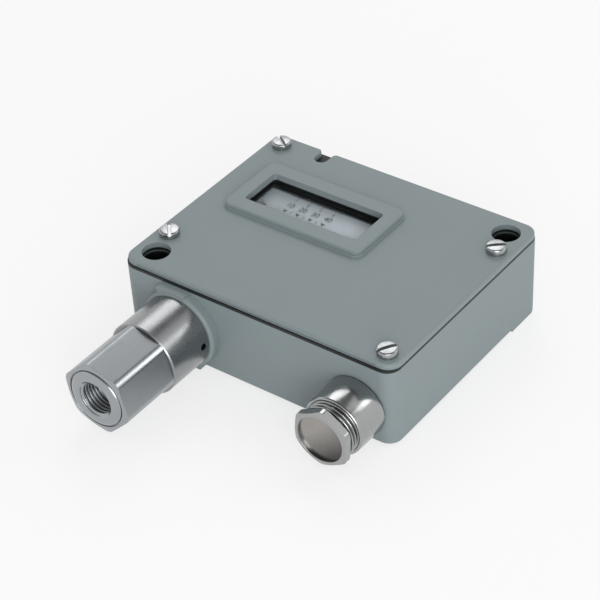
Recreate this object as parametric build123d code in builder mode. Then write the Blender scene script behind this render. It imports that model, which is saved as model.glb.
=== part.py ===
from build123d import *
import os
from math import cos, radians, sin, tan

# Piston pressure switch in a die-cast housing, in millimetres.
# X runs along the front wall, Y to the rear, Z up from the plane of the mounting pads.
# The pressure port and the cable gland stand out of the front wall, towards -Y.

# Clearances
slide_gap = 0.05
thread_gap = 0.05
lay_gap = 0.02
face_gap = 0.3

# Housing
body_w = 110.0
body_d = 89.2
body_h = 30.5
corner_r = 5.0
draft = 0.45
wall_t = 3.2
floor_t = 3.0
pad_h = 1.2
pad_size = 17.0
rest_pad_r = 6.0
rest_pad_inset = 11.0
cavity_r = 3.0
front_y = -body_d / 2
rear_y = body_d / 2
floor_z = pad_h + floor_t

# Fixing wells in two opposite corners
well_r = 5.0
well_inset_x = 8.2
well_inset_y = 8.9
well_x = body_w / 2 - well_inset_x
well_y = body_d / 2 - well_inset_y
fixing_r = 2.75
well_seat_z = 8.5
well_wall = 2.6
wells = [(-well_x, -well_y), (well_x, well_y)]

# Cover, gasket and cover screws
gasket_t = 1.0
gasket_setback = 0.7
cover_t = 2.0
cover_setback = 0.6
rear_setback = 0.4
cover_edge_r = 0.9
gasket_top = body_h + gasket_t
cover_top = gasket_top + cover_t
relief_depth = 0.3
relief_h = 1.0
relief_lip = 0.4
relief_end = 6.5
screw_inset_x = 5.8
screw_inset_y = 6.3
screw_inset_far = 19.0
screw_x = body_w / 2 - screw_inset_x
screw_near_y = body_d / 2 - screw_inset_y
screw_far_y = body_d / 2 - screw_inset_far
cover_screw_places = [
    (-screw_x, screw_near_y),
    (-screw_x, -screw_far_y),
    (screw_x, -screw_near_y),
    (screw_x, screw_far_y),
]
m4_r = 2.0
m4_head_r = 3.6
m4_head_h = 2.5
m4_slot_w = 1.2
m4_slot_depth = 1.1
m4_length = 12.0
m4_hole_spare = 0.5
screw_boss_r = 4.6
head_taper = 5.0
head_edge_r = 0.25
slot_angles = [-35.0, -50.0, 58.0, 40.0]

# Notch in the cover's rear edge
notch_x = -32.2
notch_r = 2.6
notch_depth = 8.0
notch_flare = 1.5
cover_rear = rear_y - rear_setback
notch_end_y = rear_y - notch_depth + notch_r

# Window frame, opening, seal and pane
bezel_x = -15.5
bezel_y = 11.6
bezel_w = 58.0
bezel_d = 30.2
bezel_r = 3.5
bezel_h = 2.2
ledge_h = 0.9
ledge_w = 0.45
bezel_edge_r = 0.6
opening_x = -15.45
opening_y = 11.55
opening_w = 46.7
opening_d = 17.7
opening_r = 1.4
rim_t = 2.45
seal_w = 3.2
seal_gap = 0.1
seal_drop = 0.1
pane_t = 1.5
pane_lap = 1.8
pane_drop = 0.55
bezel_top = cover_top + bezel_h
rim_z = bezel_top - rim_t
seal_bottom = body_h - seal_drop
pane_top = rim_z - pane_drop

# Pressure port: boss, sleeve and hexagon body
port_x = -29.4
port_z = 15.35
boss_r = 14.65
boss_len = 3.5
boss_edge_r = 1.2
boss_lug_w = 11.5
boss_lug_shift = 2.2
boss_lug_gap = 0.3
boss_lug_in = 0.2
port_inner_boss_r = 13.0
port_inner_boss_len = 2.0
sleeve_r = 13.45
sleeve_len = 18.1
sleeve_edge = 0.4
sleeve_spigot_r = 10.0
sleeve_seal_t = 0.4
sleeve_seal_r = 12.6
vent_r = 1.25
vent_from_boss = 2.7
vent_angle = 3.0
chamber_r = 7.0
chamber_len = 9.5
hex_af = 24.0
hex_turned_r = 13.3
hex_len = 22.75
hex_angle = 44.5
hex_chamfer = 0.85
neck_r = 11.5
neck_len = 0.3
register_r = 10.75
register_len = 1.35
register_step = 0.7
port_thread_minor_r = 5.72
port_thread_depth = 13.0
port_mouth_r = 6.9
port_mouth_depth = 1.0
port_spigot_r = 9.0
port_spigot_len = 10.7
oil_way_r = 2.0
sleeve_face = -(boss_len + sleeve_seal_t)
sleeve_end = sleeve_face - sleeve_len
hex_back = sleeve_end - neck_len
hex_front = hex_back - hex_len
register_face = hex_front - register_len

# Piston and its seal, inside the port's spigot
piston_r = 3.0
piston_stop_r = 5.5
piston_stop_t = 2.0
piston_stroke = 1.2
piston_top_room = 1.5
seal_section = 1.9
backup_t = 0.8
seal_pocket_r = piston_r + seal_section
rod_r = 2.0
rod_socket = 1.2
rod_dome = 0.8
spigot_end = sleeve_end + port_spigot_len
piston_end = spigot_end + piston_stop_t + lay_gap
rod_start = piston_end - rod_socket

# Cable gland
gland_inset = 14.0
gland_x = body_w / 2 - gland_inset
gland_z = 13.05
gland_r = 11.2
gland_front_r = 10.95
gland_len = 12.6
gland_gasket_t = 0.5
gland_gasket_in = 0.4
gland_thread_r = 10.2
gland_thread_len = 6.0
gland_bore_r = 8.0
gland_pocket_depth = 8.6
gland_edge = 0.6
gland_boss_r = 12.8
gland_boss_len = 2.8
nut_thread_r = 9.9
nut_neck = 4.2
nut_hex_af = 19.5
nut_hex_turned_r = 10.9
nut_hex_len = 3.0
nut_hex_angle = 26.5
nut_chamfer = 0.5
nut_bore_r = 6.6
disc_r = 8.5
disc_t = 0.5
disc_dish = 0.25
disc_recess = 1.0
gland_seal_len = 5.0
gland_seal_bore = 5.5
gland_washer_t = 1.0
gland_washer_bore = 6.5
gland_gasket_face = -gland_gasket_t
gland_front = gland_gasket_face - gland_len

# Chassis, bent from sheet, on four pillars in the housing
chassis_z = 8.2
chassis_t = 1.5
chassis_left = -42.0
chassis_right = 44.0
chassis_front = 1.0
chassis_rear = 33.5
chassis_cut_x = 37.0
chassis_cut_y = 26.4
chassis_corner_r = 2.0
pillar_r = 3.6
m3_r = 1.5
m3_head_r = 2.75
m3_head_h = 1.9
m3_slot_w = 0.8
m3_slot_depth = 0.8
m3_length = 5.0
m3_hole_spare = 0.5
chassis_screw_places = [(-37.0, 4.8), (-37.0, 29.3), (1.5, 4.8), (33.3, 29.3)]
chassis_top = chassis_z + chassis_t

# Scale plate on the chassis flange
plate_t = 1.0
plate_gap = 0.4
plate_left = -42.0
plate_right = 11.4
plate_front = 8.6
plate_rear = 19.2
plate_top = seal_bottom - plate_gap
plate_z = plate_top - plate_t
flange_front = 16.7
flange_right = 6.5
tab_front = 10.6
tab_left = -1.0
left_tab_end = -37.0
left_tab_front = 15.0
m2_r = 1.0
m2_head_r = 1.9
m2_length = 2.4
scale_screw_places = [(8.8, 12.7), (8.8, 16.6)]

# Range mechanism along X: spindle, nut with pointer, spring
range_y = 12.0
range_z = 22.3
spindle_r = 2.5
spindle_right = -6.0
collar_r = 3.8
collar_t = 1.2
head_r = 3.4
head_t = 4.0
spindle_slot_w = 1.2
spindle_slot_depth = 1.6
upright_half_w = 6.0
nut_t = 4.0
nut_half_w = 4.3
nut_half_h = 4.3
nut_left = -37.8
pointer_t = 0.5
pointer_w = 1.6
pointer_over = 2.6
pointer_top = plate_top + 0.65
spring_r = 4.5
wire_r = 0.65
spring_turns = 7.5
seat_t = 1.5
seat_spigot_len = 4.0
seat_pin_r = 1.5
seat_spigot_r = 2.9
spring_left = nut_left + nut_t + lay_gap

# Transfer lever on its pin
lever_x = 12.0
lever_y = 27.0
lever_t = 3.0
lever_half_w = 3.5
lever_boss_r = 5.0
lever_boss_top = 19.4
lever_flange_t = 2.0
lever_flange_y = 7.0
lever_flange_end = 17.0
lever_flange_top = 27.0
lever_right_arm = 17.0
lever_left_extra = 4.0
pin_r = 2.5
pin_top = 21.4
clip_t = 0.8
clip_r = 4.2
clip_groove = 0.5
pin_seat_gap = 0.1
lever_z = port_z - lever_t / 2
contact_y = lever_y - lever_half_w
flange_left = lever_x - lever_half_w
seat_left = flange_left - seat_t

# Microswitch
micro_left = 16.6
micro_l = 27.8
micro_d = 15.9
micro_h = 10.3
micro_rear = 20.3
plunger_x = 26.5
plunger_r = 1.6
plunger_in = 2.0
tip_dome = 0.4
micro_corner_r = 0.8
micro_hole_inset_x = 2.8
micro_hole_inset_y = 3.8
blade_w = 4.8
blade_t = 0.8
blade_len = 6.0
blade_in = 1.5
blade_count = 3
blade_first = 3.2
blade_pitch = 10.7
blade_xs = [micro_left + blade_first + n * blade_pitch for n in range(blade_count)]
micro_front = micro_rear - micro_d

# Terminal block and earth terminal
block_left = -4.0
block_pitch = 10.0
block_poles = 3
block_end = 1.5
block_front = -32.0
block_d = 13.0
block_h = 12.0
block_z = 8.2
clamp_w = 5.2
clamp_h = 6.0
clamp_len = 9.0
clamp_wire_r = 1.5
clamp_pocket_gap = 0.15
clamp_lift = 2.0
clamp_wall = 1.0
block_screw_length = 15.0
terminal_screw_length = 5.0
earth_x = 35.0
earth_y = -16.0
earth_z = 10.0
earth_pillar_r = 4.2
earth_clamp_size = 8.0
earth_clamp_t = 1.2
earth_screw_length = 7.0
wire_radius = 0.9
wire_bend = 5.5
wire_turn_y = -5.5
wire_spacing = 3.0
wire_end_in = 2.0
blade_overlap = 2.4
block_w = 2 * block_end + block_poles * block_pitch
pole_xs = [block_left + block_end + block_pitch * (n + 0.5) for n in range(block_poles)]
block_screw_xs = [(a + b) / 2 for a, b in zip(pole_xs, pole_xs[1:])]
block_mid_y = block_front + block_d / 2


def front_plane(x, z, outward=0.0):
    """Plane parallel to the front wall, its normal pointing out of the wall."""
    return Plane(origin=(x, front_y - outward, z), x_dir=(1, 0, 0), z_dir=(0, -1, 0))


def turning_plane(x, z):
    """Plane through an axis at right angles to the front wall: (Y from the wall, radius)."""
    return Plane(origin=(x, front_y, z), x_dir=(0, 1, 0), z_dir=(1, 0, 0))


def front_axis(x, z):
    """Axis at right angles to the front wall."""
    return Axis((x, front_y, z), (0, 1, 0))


def half_section(plane, outline):
    """Closed half section of a turned piece on the given plane."""
    with BuildSketch(plane) as section:
        with BuildLine():
            Polyline(*outline, close=True)
        make_face()
    return section.sketch


def hexagon(plane, across_flats, turned_r, angle):
    """Hexagon bar section whose corners are turned off at turned_r."""
    with BuildSketch(plane) as section:
        RegularPolygon(across_flats / 2, 6, major_radius=False, rotation=angle)
        Circle(turned_r, mode=Mode.INTERSECT)
    return section.sketch


def disc(plane, radius, x=0.0, y=0.0):
    """Round face of the given radius at (x, y) on a plane."""
    with BuildSketch(plane) as section:
        with Locations((x, y)):
            Circle(radius)
    return section.sketch


def discs(plane, radius, places):
    """Round faces of one radius at several places on a plane."""
    with BuildSketch(plane) as section:
        with Locations(*places):
            Circle(radius)
    return section.sketch


def plate(plane, x0, x1, y0, y1):
    """Rectangular face between two corners on a plane."""
    with BuildSketch(plane) as section:
        with Locations(((x0 + x1) / 2, (y0 + y1) / 2)):
            Rectangle(x1 - x0, y1 - y0)
    return section.sketch


def rounded_plate(plane, x, y, width, depth, radius):
    """Rectangular face with rounded corners round a centre."""
    with BuildSketch(plane) as section:
        with Locations((x, y)):
            RectangleRounded(width, depth, radius)
    return section.sketch


def dome_radius(radius, rise):
    """Radius of the sphere whose cap has the given base radius and rise."""
    return (radius**2 + rise**2) / (2 * rise)


def height(z):
    """Level plane at height z."""
    return Plane.XY.offset(z)


# Housing: the cavity is the inner prism less every boss and pillar that stands in it
cavity_w = body_w - 2 * wall_t
cavity_d = body_d - 2 * wall_t
cavity_h = body_h - floor_z
inner_wall = wall_t + port_inner_boss_len
pillar_h = chassis_z - floor_z
with BuildPart() as cavity:
    extrude(rounded_plate(height(floor_z), 0, 0, cavity_w, cavity_d, cavity_r), amount=cavity_h)
    extrude(discs(height(floor_z), screw_boss_r, cover_screw_places), amount=cavity_h, mode=Mode.SUBTRACT)
    extrude(discs(height(floor_z), well_r + well_wall, wells), amount=cavity_h, mode=Mode.SUBTRACT)
    notch_boss = disc(height(floor_z), notch_r + well_wall, notch_x, notch_end_y)
    extrude(notch_boss, amount=cavity_h, mode=Mode.SUBTRACT)
    extrude(discs(height(floor_z), pillar_r, chassis_screw_places), amount=pillar_h, mode=Mode.SUBTRACT)
    extrude(
        discs(height(floor_z), pillar_r, [(x, block_mid_y) for x in block_screw_xs]),
        amount=block_z - floor_z,
        mode=Mode.SUBTRACT,
    )
    extrude(
        disc(height(floor_z), earth_pillar_r, earth_x, earth_y),
        amount=earth_z - floor_z,
        mode=Mode.SUBTRACT,
    )
    extrude(
        disc(front_plane(port_x, port_z), port_inner_boss_r),
        amount=-inner_wall,
        mode=Mode.SUBTRACT,
    )
    extrude(
        disc(front_plane(gland_x, gland_z), gland_boss_r),
        amount=-(wall_t + gland_boss_len),
        mode=Mode.SUBTRACT,
    )

rest_pads = [
    (-body_w / 2 + rest_pad_inset, body_d / 2 - rest_pad_inset),
    (body_w / 2 - rest_pad_inset, -body_d / 2 + rest_pad_inset),
]
base_in = (body_h - pad_h) * tan(radians(draft))
boss_side = boss_r - boss_edge_r
boss_front = boss_edge_r - boss_len
lug_top = body_h - boss_lug_gap
lug_bottom = pad_h + boss_lug_gap
cover_hole_z = cover_top - m4_length - m4_hole_spare
chassis_hole_z = chassis_top - m3_length - m3_hole_spare
block_hole_z = block_z + block_h - block_screw_length - m3_hole_spare
earth_hole_z = earth_z + earth_clamp_t - earth_screw_length - m3_hole_spare
with BuildPart() as housing:
    # Drafted outer block, standing on its pads
    with BuildSketch(height(body_h)):
        RectangleRounded(body_w, body_d, corner_r)
    extrude(amount=-(body_h - pad_h), taper=draft)
    with BuildSketch(height(pad_h)):
        with Locations((-body_w / 2, -body_d / 2), (body_w / 2, body_d / 2)):
            Rectangle(2 * pad_size, 2 * pad_size)
        RectangleRounded(body_w - 2 * base_in, body_d - 2 * base_in, corner_r, mode=Mode.INTERSECT)
        with Locations(*rest_pads):
            Circle(rest_pad_r)
    extrude(amount=-pad_h)
    # Round boss for the port, its front edge rounded, with a flat lug above and below
    with BuildSketch(turning_plane(port_x, port_z)):
        with BuildLine():
            Polyline(
                (boss_front, boss_r), (wall_t, boss_r), (wall_t, 0), (-boss_len, 0), (-boss_len, boss_side)
            )
            RadiusArc((-boss_len, boss_side), (boss_front, boss_r), boss_edge_r)
        make_face()
    revolve(axis=front_axis(port_x, port_z))
    with BuildSketch(front_plane(port_x, 0)):
        with Locations((-boss_lug_shift, (port_z + lug_top) / 2)):
            Rectangle(boss_lug_w, lug_top - port_z)
        with Locations((boss_lug_shift, (port_z + lug_bottom) / 2)):
            Rectangle(boss_lug_w, port_z - lug_bottom)
    extrude(amount=boss_len - boss_lug_in)
    # What of the round boss hangs below the base is cut level with it
    with BuildSketch(height(pad_h)):
        with Locations((port_x, front_y)):
            Rectangle(2 * boss_r, 2 * boss_len)
    extrude(amount=-pad_h, mode=Mode.SUBTRACT)
    add(cavity.part, mode=Mode.SUBTRACT)
    # Stepped fixing wells
    extrude(discs(height(well_seat_z), well_r, wells), amount=body_h, mode=Mode.SUBTRACT)
    extrude(discs(height(0), fixing_r, wells), amount=body_h, mode=Mode.SUBTRACT)
    # Threaded holes, entered from above
    for hole_z, hole_r, places in [
        (cover_hole_z, m4_r, cover_screw_places),
        (chassis_hole_z, m3_r, chassis_screw_places),
        (block_hole_z, m3_r, [(x, block_mid_y) for x in block_screw_xs]),
        (earth_hole_z, m4_r, [(earth_x, earth_y)]),
    ]:
        extrude(discs(height(hole_z), hole_r + thread_gap, places), amount=body_h, mode=Mode.SUBTRACT)
    # Threaded bores in the front wall for the sleeve and the gland
    port_bore = disc(front_plane(port_x, port_z, boss_len), sleeve_spigot_r + thread_gap)
    extrude(port_bore, amount=-(boss_len + inner_wall), mode=Mode.SUBTRACT)
    gland_bore = disc(front_plane(gland_x, gland_z), gland_thread_r + thread_gap)
    extrude(gland_bore, amount=-(wall_t + gland_boss_len), mode=Mode.SUBTRACT)
housing.part.label = "housing"

# Cover: plate, raised window frame, opening, pocket for the seal, notch and wells
cover_d = body_d - cover_setback - rear_setback
cover_y = (cover_setback - rear_setback) / 2
pocket_w = opening_w + 2 * (seal_w + seal_gap)
pocket_d = opening_d + 2 * (seal_w + seal_gap)
with BuildPart() as cover:
    extrude(rounded_plate(height(gasket_top), 0, cover_y, body_w, cover_d, corner_r), amount=cover_t)
    fillet(cover.faces().sort_by(Axis.Z)[-1].outer_wire().edges(), cover_edge_r)
    extrude(rounded_plate(height(cover_top), bezel_x, bezel_y, bezel_w, bezel_d, bezel_r), amount=ledge_h)
    inner_w = bezel_w - 2 * ledge_w
    inner_d = bezel_d - 2 * ledge_w
    extrude(
        rounded_plate(height(cover_top), bezel_x, bezel_y, inner_w, inner_d, bezel_r - ledge_w),
        amount=bezel_h,
    )
    fillet(cover.faces().sort_by(Axis.Z)[-1].outer_wire().edges(), bezel_edge_r)
    extrude(
        rounded_plate(height(gasket_top), opening_x, opening_y, pocket_w, pocket_d, opening_r + seal_w),
        amount=rim_z - gasket_top,
        mode=Mode.SUBTRACT,
    )
    extrude(
        rounded_plate(height(gasket_top), opening_x, opening_y, opening_w, opening_d, opening_r),
        amount=cover_t + bezel_h,
        mode=Mode.SUBTRACT,
    )
    # Notch with flared mouth in the rear edge
    with BuildSketch(height(gasket_top)):
        with Locations((notch_x, notch_end_y)):
            Circle(notch_r)
        with BuildLine():
            Polyline(
                (notch_x - notch_r, notch_end_y),
                (notch_x - notch_r, cover_rear - notch_flare),
                (notch_x - notch_r - notch_flare, cover_rear),
                (notch_x + notch_r + notch_flare, cover_rear),
                (notch_x + notch_r, cover_rear - notch_flare),
                (notch_x + notch_r, notch_end_y),
                close=True,
            )
        make_face()
    extrude(amount=cover_t, mode=Mode.SUBTRACT)
    extrude(discs(height(gasket_top), well_r, wells), amount=cover_t, mode=Mode.SUBTRACT)
    cover_screw_hole = discs(height(gasket_top), m4_r + face_gap, cover_screw_places)
    extrude(cover_screw_hole, amount=cover_t, mode=Mode.SUBTRACT)
    # Shallow strip let into the front edge, above a thin lip
    with BuildSketch(front_plane(0, gasket_top + relief_lip + relief_h / 2, -cover_setback)):
        RectangleRounded(body_w - 2 * relief_end, relief_h, relief_h / 2 - lay_gap)
    extrude(amount=-relief_depth, mode=Mode.SUBTRACT)
cover.part.label = "cover"

# Cover gasket: a sheet frame over the housing's rim and bosses, a little short of the rear wall
gasket_d = body_d - gasket_setback
gasket_y = -gasket_setback / 2
with BuildPart() as cover_gasket:
    extrude(rounded_plate(height(body_h), 0, gasket_y, body_w, gasket_d, corner_r), amount=gasket_t)
    rim_opening = rounded_plate(height(body_h), 0, 0, cavity_w, cavity_d, cavity_r)
    extrude(rim_opening, amount=gasket_t, mode=Mode.SUBTRACT)
    # Ears of the sheet over the screw bosses, the fixing wells and the notch
    with BuildSketch(height(body_h)):
        with Locations(*cover_screw_places):
            Circle(screw_boss_r)
        with Locations(*wells):
            Circle(well_r + well_wall)
        with Locations((notch_x, notch_end_y)):
            Circle(notch_r + well_wall)
        with Locations((0, gasket_y)):
            RectangleRounded(body_w, gasket_d, corner_r, mode=Mode.INTERSECT)
    extrude(amount=gasket_t)
    extrude(discs(height(body_h), well_r, wells), amount=gasket_t, mode=Mode.SUBTRACT)
    gasket_holes = discs(height(body_h), m4_r + face_gap, cover_screw_places)
    extrude(gasket_holes, amount=gasket_t, mode=Mode.SUBTRACT)
cover_gasket.part.label = "cover_gasket"


def slotted_screw(radius, length, head_radius, head_height, slot_width, slot_depth):
    """Cheese-head screw whose head sits on Z = 0 and whose shank runs below it."""
    with BuildPart() as screw:
        extrude(disc(height(0), head_radius), amount=head_height, taper=head_taper)
        fillet(screw.faces().sort_by(Axis.Z)[-1].edges(), head_edge_r)
        extrude(disc(height(0), radius), amount=-length)
        slot = plate(height(head_height), -head_radius, head_radius, -slot_width / 2, slot_width / 2)
        extrude(slot, amount=-slot_depth, mode=Mode.SUBTRACT)
    return screw.part


def m4_screw(length):
    """M4 cheese-head screw of the given length."""
    return slotted_screw(m4_r, length, m4_head_r, m4_head_h, m4_slot_w, m4_slot_depth)


def m3_screw(length):
    """M3 cheese-head screw of the given length."""
    return slotted_screw(m3_r, length, m3_head_r, m3_head_h, m3_slot_w, m3_slot_depth)


def countersunk_screw(gap):
    """M2 countersunk screw with its head flush at Z = 0, enlarged all round by a gap."""
    cone_h = m2_head_r - m2_r
    with BuildPart() as screw:
        outline = [
            (0, 0), (m2_head_r + gap, 0), (m2_r + gap, -cone_h), (m2_r + gap, -m2_length), (0, -m2_length)
        ]
        revolve(half_section(Plane.XZ, outline), axis=Axis.Z)
    return screw.part


with BuildPart() as cover_screws:
    for (x, y), angle in zip(cover_screw_places, slot_angles):
        add(m4_screw(m4_length).moved(Location((x, y, cover_top), (0, 0, angle))))
cover_screws.part.label = "cover_screws"

# Window seal: black rubber frame with a groove that holds the pane
pane_w = opening_w + 2 * pane_lap
pane_d = opening_d + 2 * pane_lap
with BuildPart() as window_seal:
    extrude(
        rounded_plate(
            height(seal_bottom), opening_x, opening_y,
            opening_w + 2 * seal_w, opening_d + 2 * seal_w, opening_r + seal_w,
        ),
        amount=rim_z - lay_gap - seal_bottom,
    )
    extrude(
        rounded_plate(height(seal_bottom), opening_x, opening_y, opening_w, opening_d, opening_r),
        amount=rim_z - seal_bottom,
        mode=Mode.SUBTRACT,
    )
    extrude(
        rounded_plate(
            height(pane_top - pane_t - lay_gap), opening_x, opening_y,
            pane_w + 2 * lay_gap, pane_d + 2 * lay_gap, opening_r + pane_lap,
        ),
        amount=pane_t + 2 * lay_gap,
        mode=Mode.SUBTRACT,
    )
window_seal.part.label = "window_seal"

with BuildPart() as window_pane:
    extrude(
        rounded_plate(
            height(pane_top - pane_t), opening_x, opening_y, pane_w, pane_d, opening_r + pane_lap - lay_gap
        ),
        amount=pane_t,
    )
window_pane.part.label = "window_pane"

# Sensor sleeve: turned cylinder, threaded spigot in the boss, vented chamber behind the piston
spigot_in = inner_wall
chamber_end = spigot_end + chamber_len
with BuildPart() as sensor_sleeve:
    revolve(
        half_section(
            turning_plane(port_x, port_z),
            [
                (sleeve_end, port_spigot_r + thread_gap),
                (sleeve_end, sleeve_r - sleeve_edge),
                (sleeve_end + sleeve_edge, sleeve_r),
                (sleeve_face, sleeve_r),
                (sleeve_face, sleeve_spigot_r),
                (spigot_in, sleeve_spigot_r),
                (spigot_in, rod_r + slide_gap),
                (chamber_end, rod_r + slide_gap),
                (chamber_end, chamber_r),
                (spigot_end, chamber_r),
                (spigot_end, port_spigot_r + thread_gap),
            ],
        ),
        axis=front_axis(port_x, port_z),
    )
    vent_plane = Plane(
        origin=(port_x, front_y + sleeve_face - vent_from_boss, port_z),
        x_dir=(0, 1, 0),
        z_dir=(cos(radians(vent_angle)), 0, sin(radians(vent_angle))),
    )
    extrude(disc(vent_plane, vent_r), amount=sleeve_r + sleeve_edge, mode=Mode.SUBTRACT)
sensor_sleeve.part.label = "sensor_sleeve"

with BuildPart() as sleeve_seal:
    extrude(disc(front_plane(port_x, port_z, boss_len), sleeve_seal_r), amount=sleeve_seal_t)
    extrude(
        disc(front_plane(port_x, port_z, boss_len), sleeve_spigot_r + face_gap),
        amount=sleeve_seal_t,
        mode=Mode.SUBTRACT,
    )
sleeve_seal.part.label = "sleeve_seal"

# Port body: register, hexagon, neck and the spigot that guides the piston
thread_end = register_face + port_thread_depth
seal_pocket = seal_section + backup_t + 2 * lay_gap
piston_bore_start = spigot_end - seal_pocket - port_spigot_len + oil_way_r
with BuildPart() as port_body:
    extrude(
        hexagon(front_plane(port_x, port_z, -hex_back), hex_af, hex_turned_r, hex_angle), amount=hex_len
    )
    # Chamfers at both ends of the hexagon
    revolve(
        half_section(
            turning_plane(port_x, port_z),
            [
                (hex_back, 0),
                (hex_back, hex_turned_r - 2 * hex_chamfer),
                (hex_back - hex_chamfer, hex_turned_r),
                (hex_front + hex_chamfer, hex_turned_r),
                (hex_front, hex_turned_r - 2 * hex_chamfer),
                (hex_front, 0),
            ],
        ),
        axis=front_axis(port_x, port_z),
        mode=Mode.INTERSECT,
    )
    revolve(
        half_section(
            turning_plane(port_x, port_z),
            [
                (hex_front, 0),
                (hex_front, register_r),
                (register_face + register_step, register_r),
                (register_face, register_r - register_step),
                (register_face, 0),
            ],
        ),
        axis=front_axis(port_x, port_z),
    )
    revolve(
        half_section(
            turning_plane(port_x, port_z),
            [
                (hex_back, 0),
                (hex_back, neck_r),
                (sleeve_end, neck_r),
                (sleeve_end, port_spigot_r),
                (spigot_end, port_spigot_r),
                (spigot_end, 0),
            ],
        ),
        axis=front_axis(port_x, port_z),
    )
    # Thread mouth, oil way, piston bore and seal pocket
    revolve(
        half_section(
            turning_plane(port_x, port_z),
            [
                (register_face, 0),
                (register_face, port_mouth_r),
                (register_face + port_mouth_depth, port_thread_minor_r),
                (thread_end, port_thread_minor_r),
                (thread_end, oil_way_r),
                (piston_bore_start, oil_way_r),
                (piston_bore_start, piston_r + slide_gap),
                (spigot_end - seal_pocket, piston_r + slide_gap),
                (spigot_end - seal_pocket, seal_pocket_r),
                (spigot_end, seal_pocket_r),
                (spigot_end, 0),
            ],
        ),
        axis=front_axis(port_x, port_z),
        mode=Mode.SUBTRACT,
    )
port_body.part.label = "port_body"

# Piston with its stop collar and the socket for the push rod
piston_top = piston_bore_start + piston_top_room
stop_face = spigot_end + lay_gap
with BuildPart() as piston:
    revolve(
        half_section(
            turning_plane(port_x, port_z),
            [
                (piston_top, 0),
                (piston_top, piston_r),
                (stop_face, piston_r),
                (stop_face, piston_stop_r),
                (piston_end, piston_stop_r),
                (piston_end, rod_r + slide_gap),
                (rod_start, rod_r + slide_gap),
                (rod_start, 0),
            ],
        ),
        axis=front_axis(port_x, port_z),
    )
piston.part.label = "piston"

seal_centre = spigot_end - backup_t - lay_gap - seal_section / 2
seal_mid_r = (piston_r + seal_pocket_r) / 2
with BuildPart() as piston_seal:
    with BuildSketch(turning_plane(port_x, port_z)):
        with Locations((seal_centre, seal_mid_r)):
            Circle(seal_section / 2 - lay_gap)
    revolve(axis=front_axis(port_x, port_z))
piston_seal.part.label = "piston_seal"

with BuildPart() as seal_backup_ring:
    backup_plane = front_plane(port_x, port_z, -spigot_end + backup_t)
    extrude(disc(backup_plane, seal_pocket_r - lay_gap), amount=-(backup_t - lay_gap))
    extrude(disc(backup_plane, piston_r + slide_gap), amount=-backup_t, mode=Mode.SUBTRACT)
seal_backup_ring.part.label = "seal_backup_ring"

# Push rod with a domed tip that meets the lever
rod_tip = contact_y - lay_gap - front_y
with BuildPart() as push_rod:
    with BuildSketch(turning_plane(port_x, port_z)):
        with BuildLine():
            Polyline((rod_tip, 0), (rod_start, 0), (rod_start, rod_r), (rod_tip - rod_dome, rod_r))
            RadiusArc((rod_tip - rod_dome, rod_r), (rod_tip, 0), dome_radius(rod_r, rod_dome))
        make_face()
    revolve(axis=front_axis(port_x, port_z))
push_rod.part.label = "push_rod"

# Cable gland: body, gasket, thrust screw, seal ring, washer and blanking disc
nut_end = gland_front + gland_pocket_depth - gland_seal_len - gland_washer_t
nut_hex_back = gland_front - nut_neck
nut_front = nut_hex_back - nut_hex_len
pocket_end = gland_front + gland_pocket_depth
with BuildPart() as gland_body:
    revolve(
        half_section(
            turning_plane(gland_x, gland_z),
            [
                (gland_front, nut_thread_r + thread_gap),
                (gland_front, gland_front_r - gland_edge),
                (gland_front + gland_edge, gland_front_r),
                (gland_gasket_face, gland_r),
                (gland_gasket_face, gland_thread_r),
                (gland_thread_len, gland_thread_r),
                (gland_thread_len, gland_bore_r),
                (pocket_end, gland_bore_r),
                (pocket_end, nut_thread_r + thread_gap),
            ],
        ),
        axis=front_axis(gland_x, gland_z),
    )
gland_body.part.label = "gland_body"

with BuildPart() as gland_gasket:
    extrude(disc(front_plane(gland_x, gland_z), gland_r - gland_gasket_in), amount=gland_gasket_t)
    extrude(
        disc(front_plane(gland_x, gland_z), gland_thread_r + thread_gap),
        amount=gland_gasket_t,
        mode=Mode.SUBTRACT,
    )
gland_gasket.part.label = "gland_gasket"

disc_face = nut_front + disc_recess
disc_seat = disc_face + disc_t + disc_dish
with BuildPart() as gland_thrust_screw:
    hex_plane = front_plane(gland_x, gland_z, -nut_hex_back)
    extrude(hexagon(hex_plane, nut_hex_af, nut_hex_turned_r, nut_hex_angle), amount=nut_hex_len)
    revolve(
        half_section(
            turning_plane(gland_x, gland_z),
            [
                (nut_hex_back, 0),
                (nut_hex_back, nut_hex_turned_r - 2 * nut_chamfer),
                (nut_hex_back - nut_chamfer, nut_hex_turned_r),
                (nut_front + nut_chamfer, nut_hex_turned_r),
                (nut_front, nut_hex_turned_r - 2 * nut_chamfer),
                (nut_front, 0),
            ],
        ),
        axis=front_axis(gland_x, gland_z),
        mode=Mode.INTERSECT,
    )
    extrude(disc(hex_plane, nut_thread_r), amount=-(nut_end - nut_hex_back))
    nut_reach = nut_end - nut_hex_back + nut_hex_len
    extrude(disc(hex_plane, nut_bore_r), amount=nut_reach, both=True, mode=Mode.SUBTRACT)
    extrude(
        disc(front_plane(gland_x, gland_z, -nut_front), disc_r + thread_gap),
        amount=-(disc_seat - nut_front),
        mode=Mode.SUBTRACT,
    )
gland_thrust_screw.part.label = "gland_thrust_screw"

with BuildPart() as gland_blanking_disc:
    with BuildSketch(turning_plane(gland_x, gland_z)):
        with BuildLine():
            Line((disc_seat - lay_gap, 0), (disc_seat - lay_gap, disc_r))
            Line((disc_seat - lay_gap, disc_r), (disc_face, disc_r))
            RadiusArc((disc_face, disc_r), (disc_face + disc_dish, 0), dome_radius(disc_r, disc_dish))
            Line((disc_face + disc_dish, 0), (disc_seat - lay_gap, 0))
        make_face()
    revolve(axis=front_axis(gland_x, gland_z))
gland_blanking_disc.part.label = "gland_blanking_disc"

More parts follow.
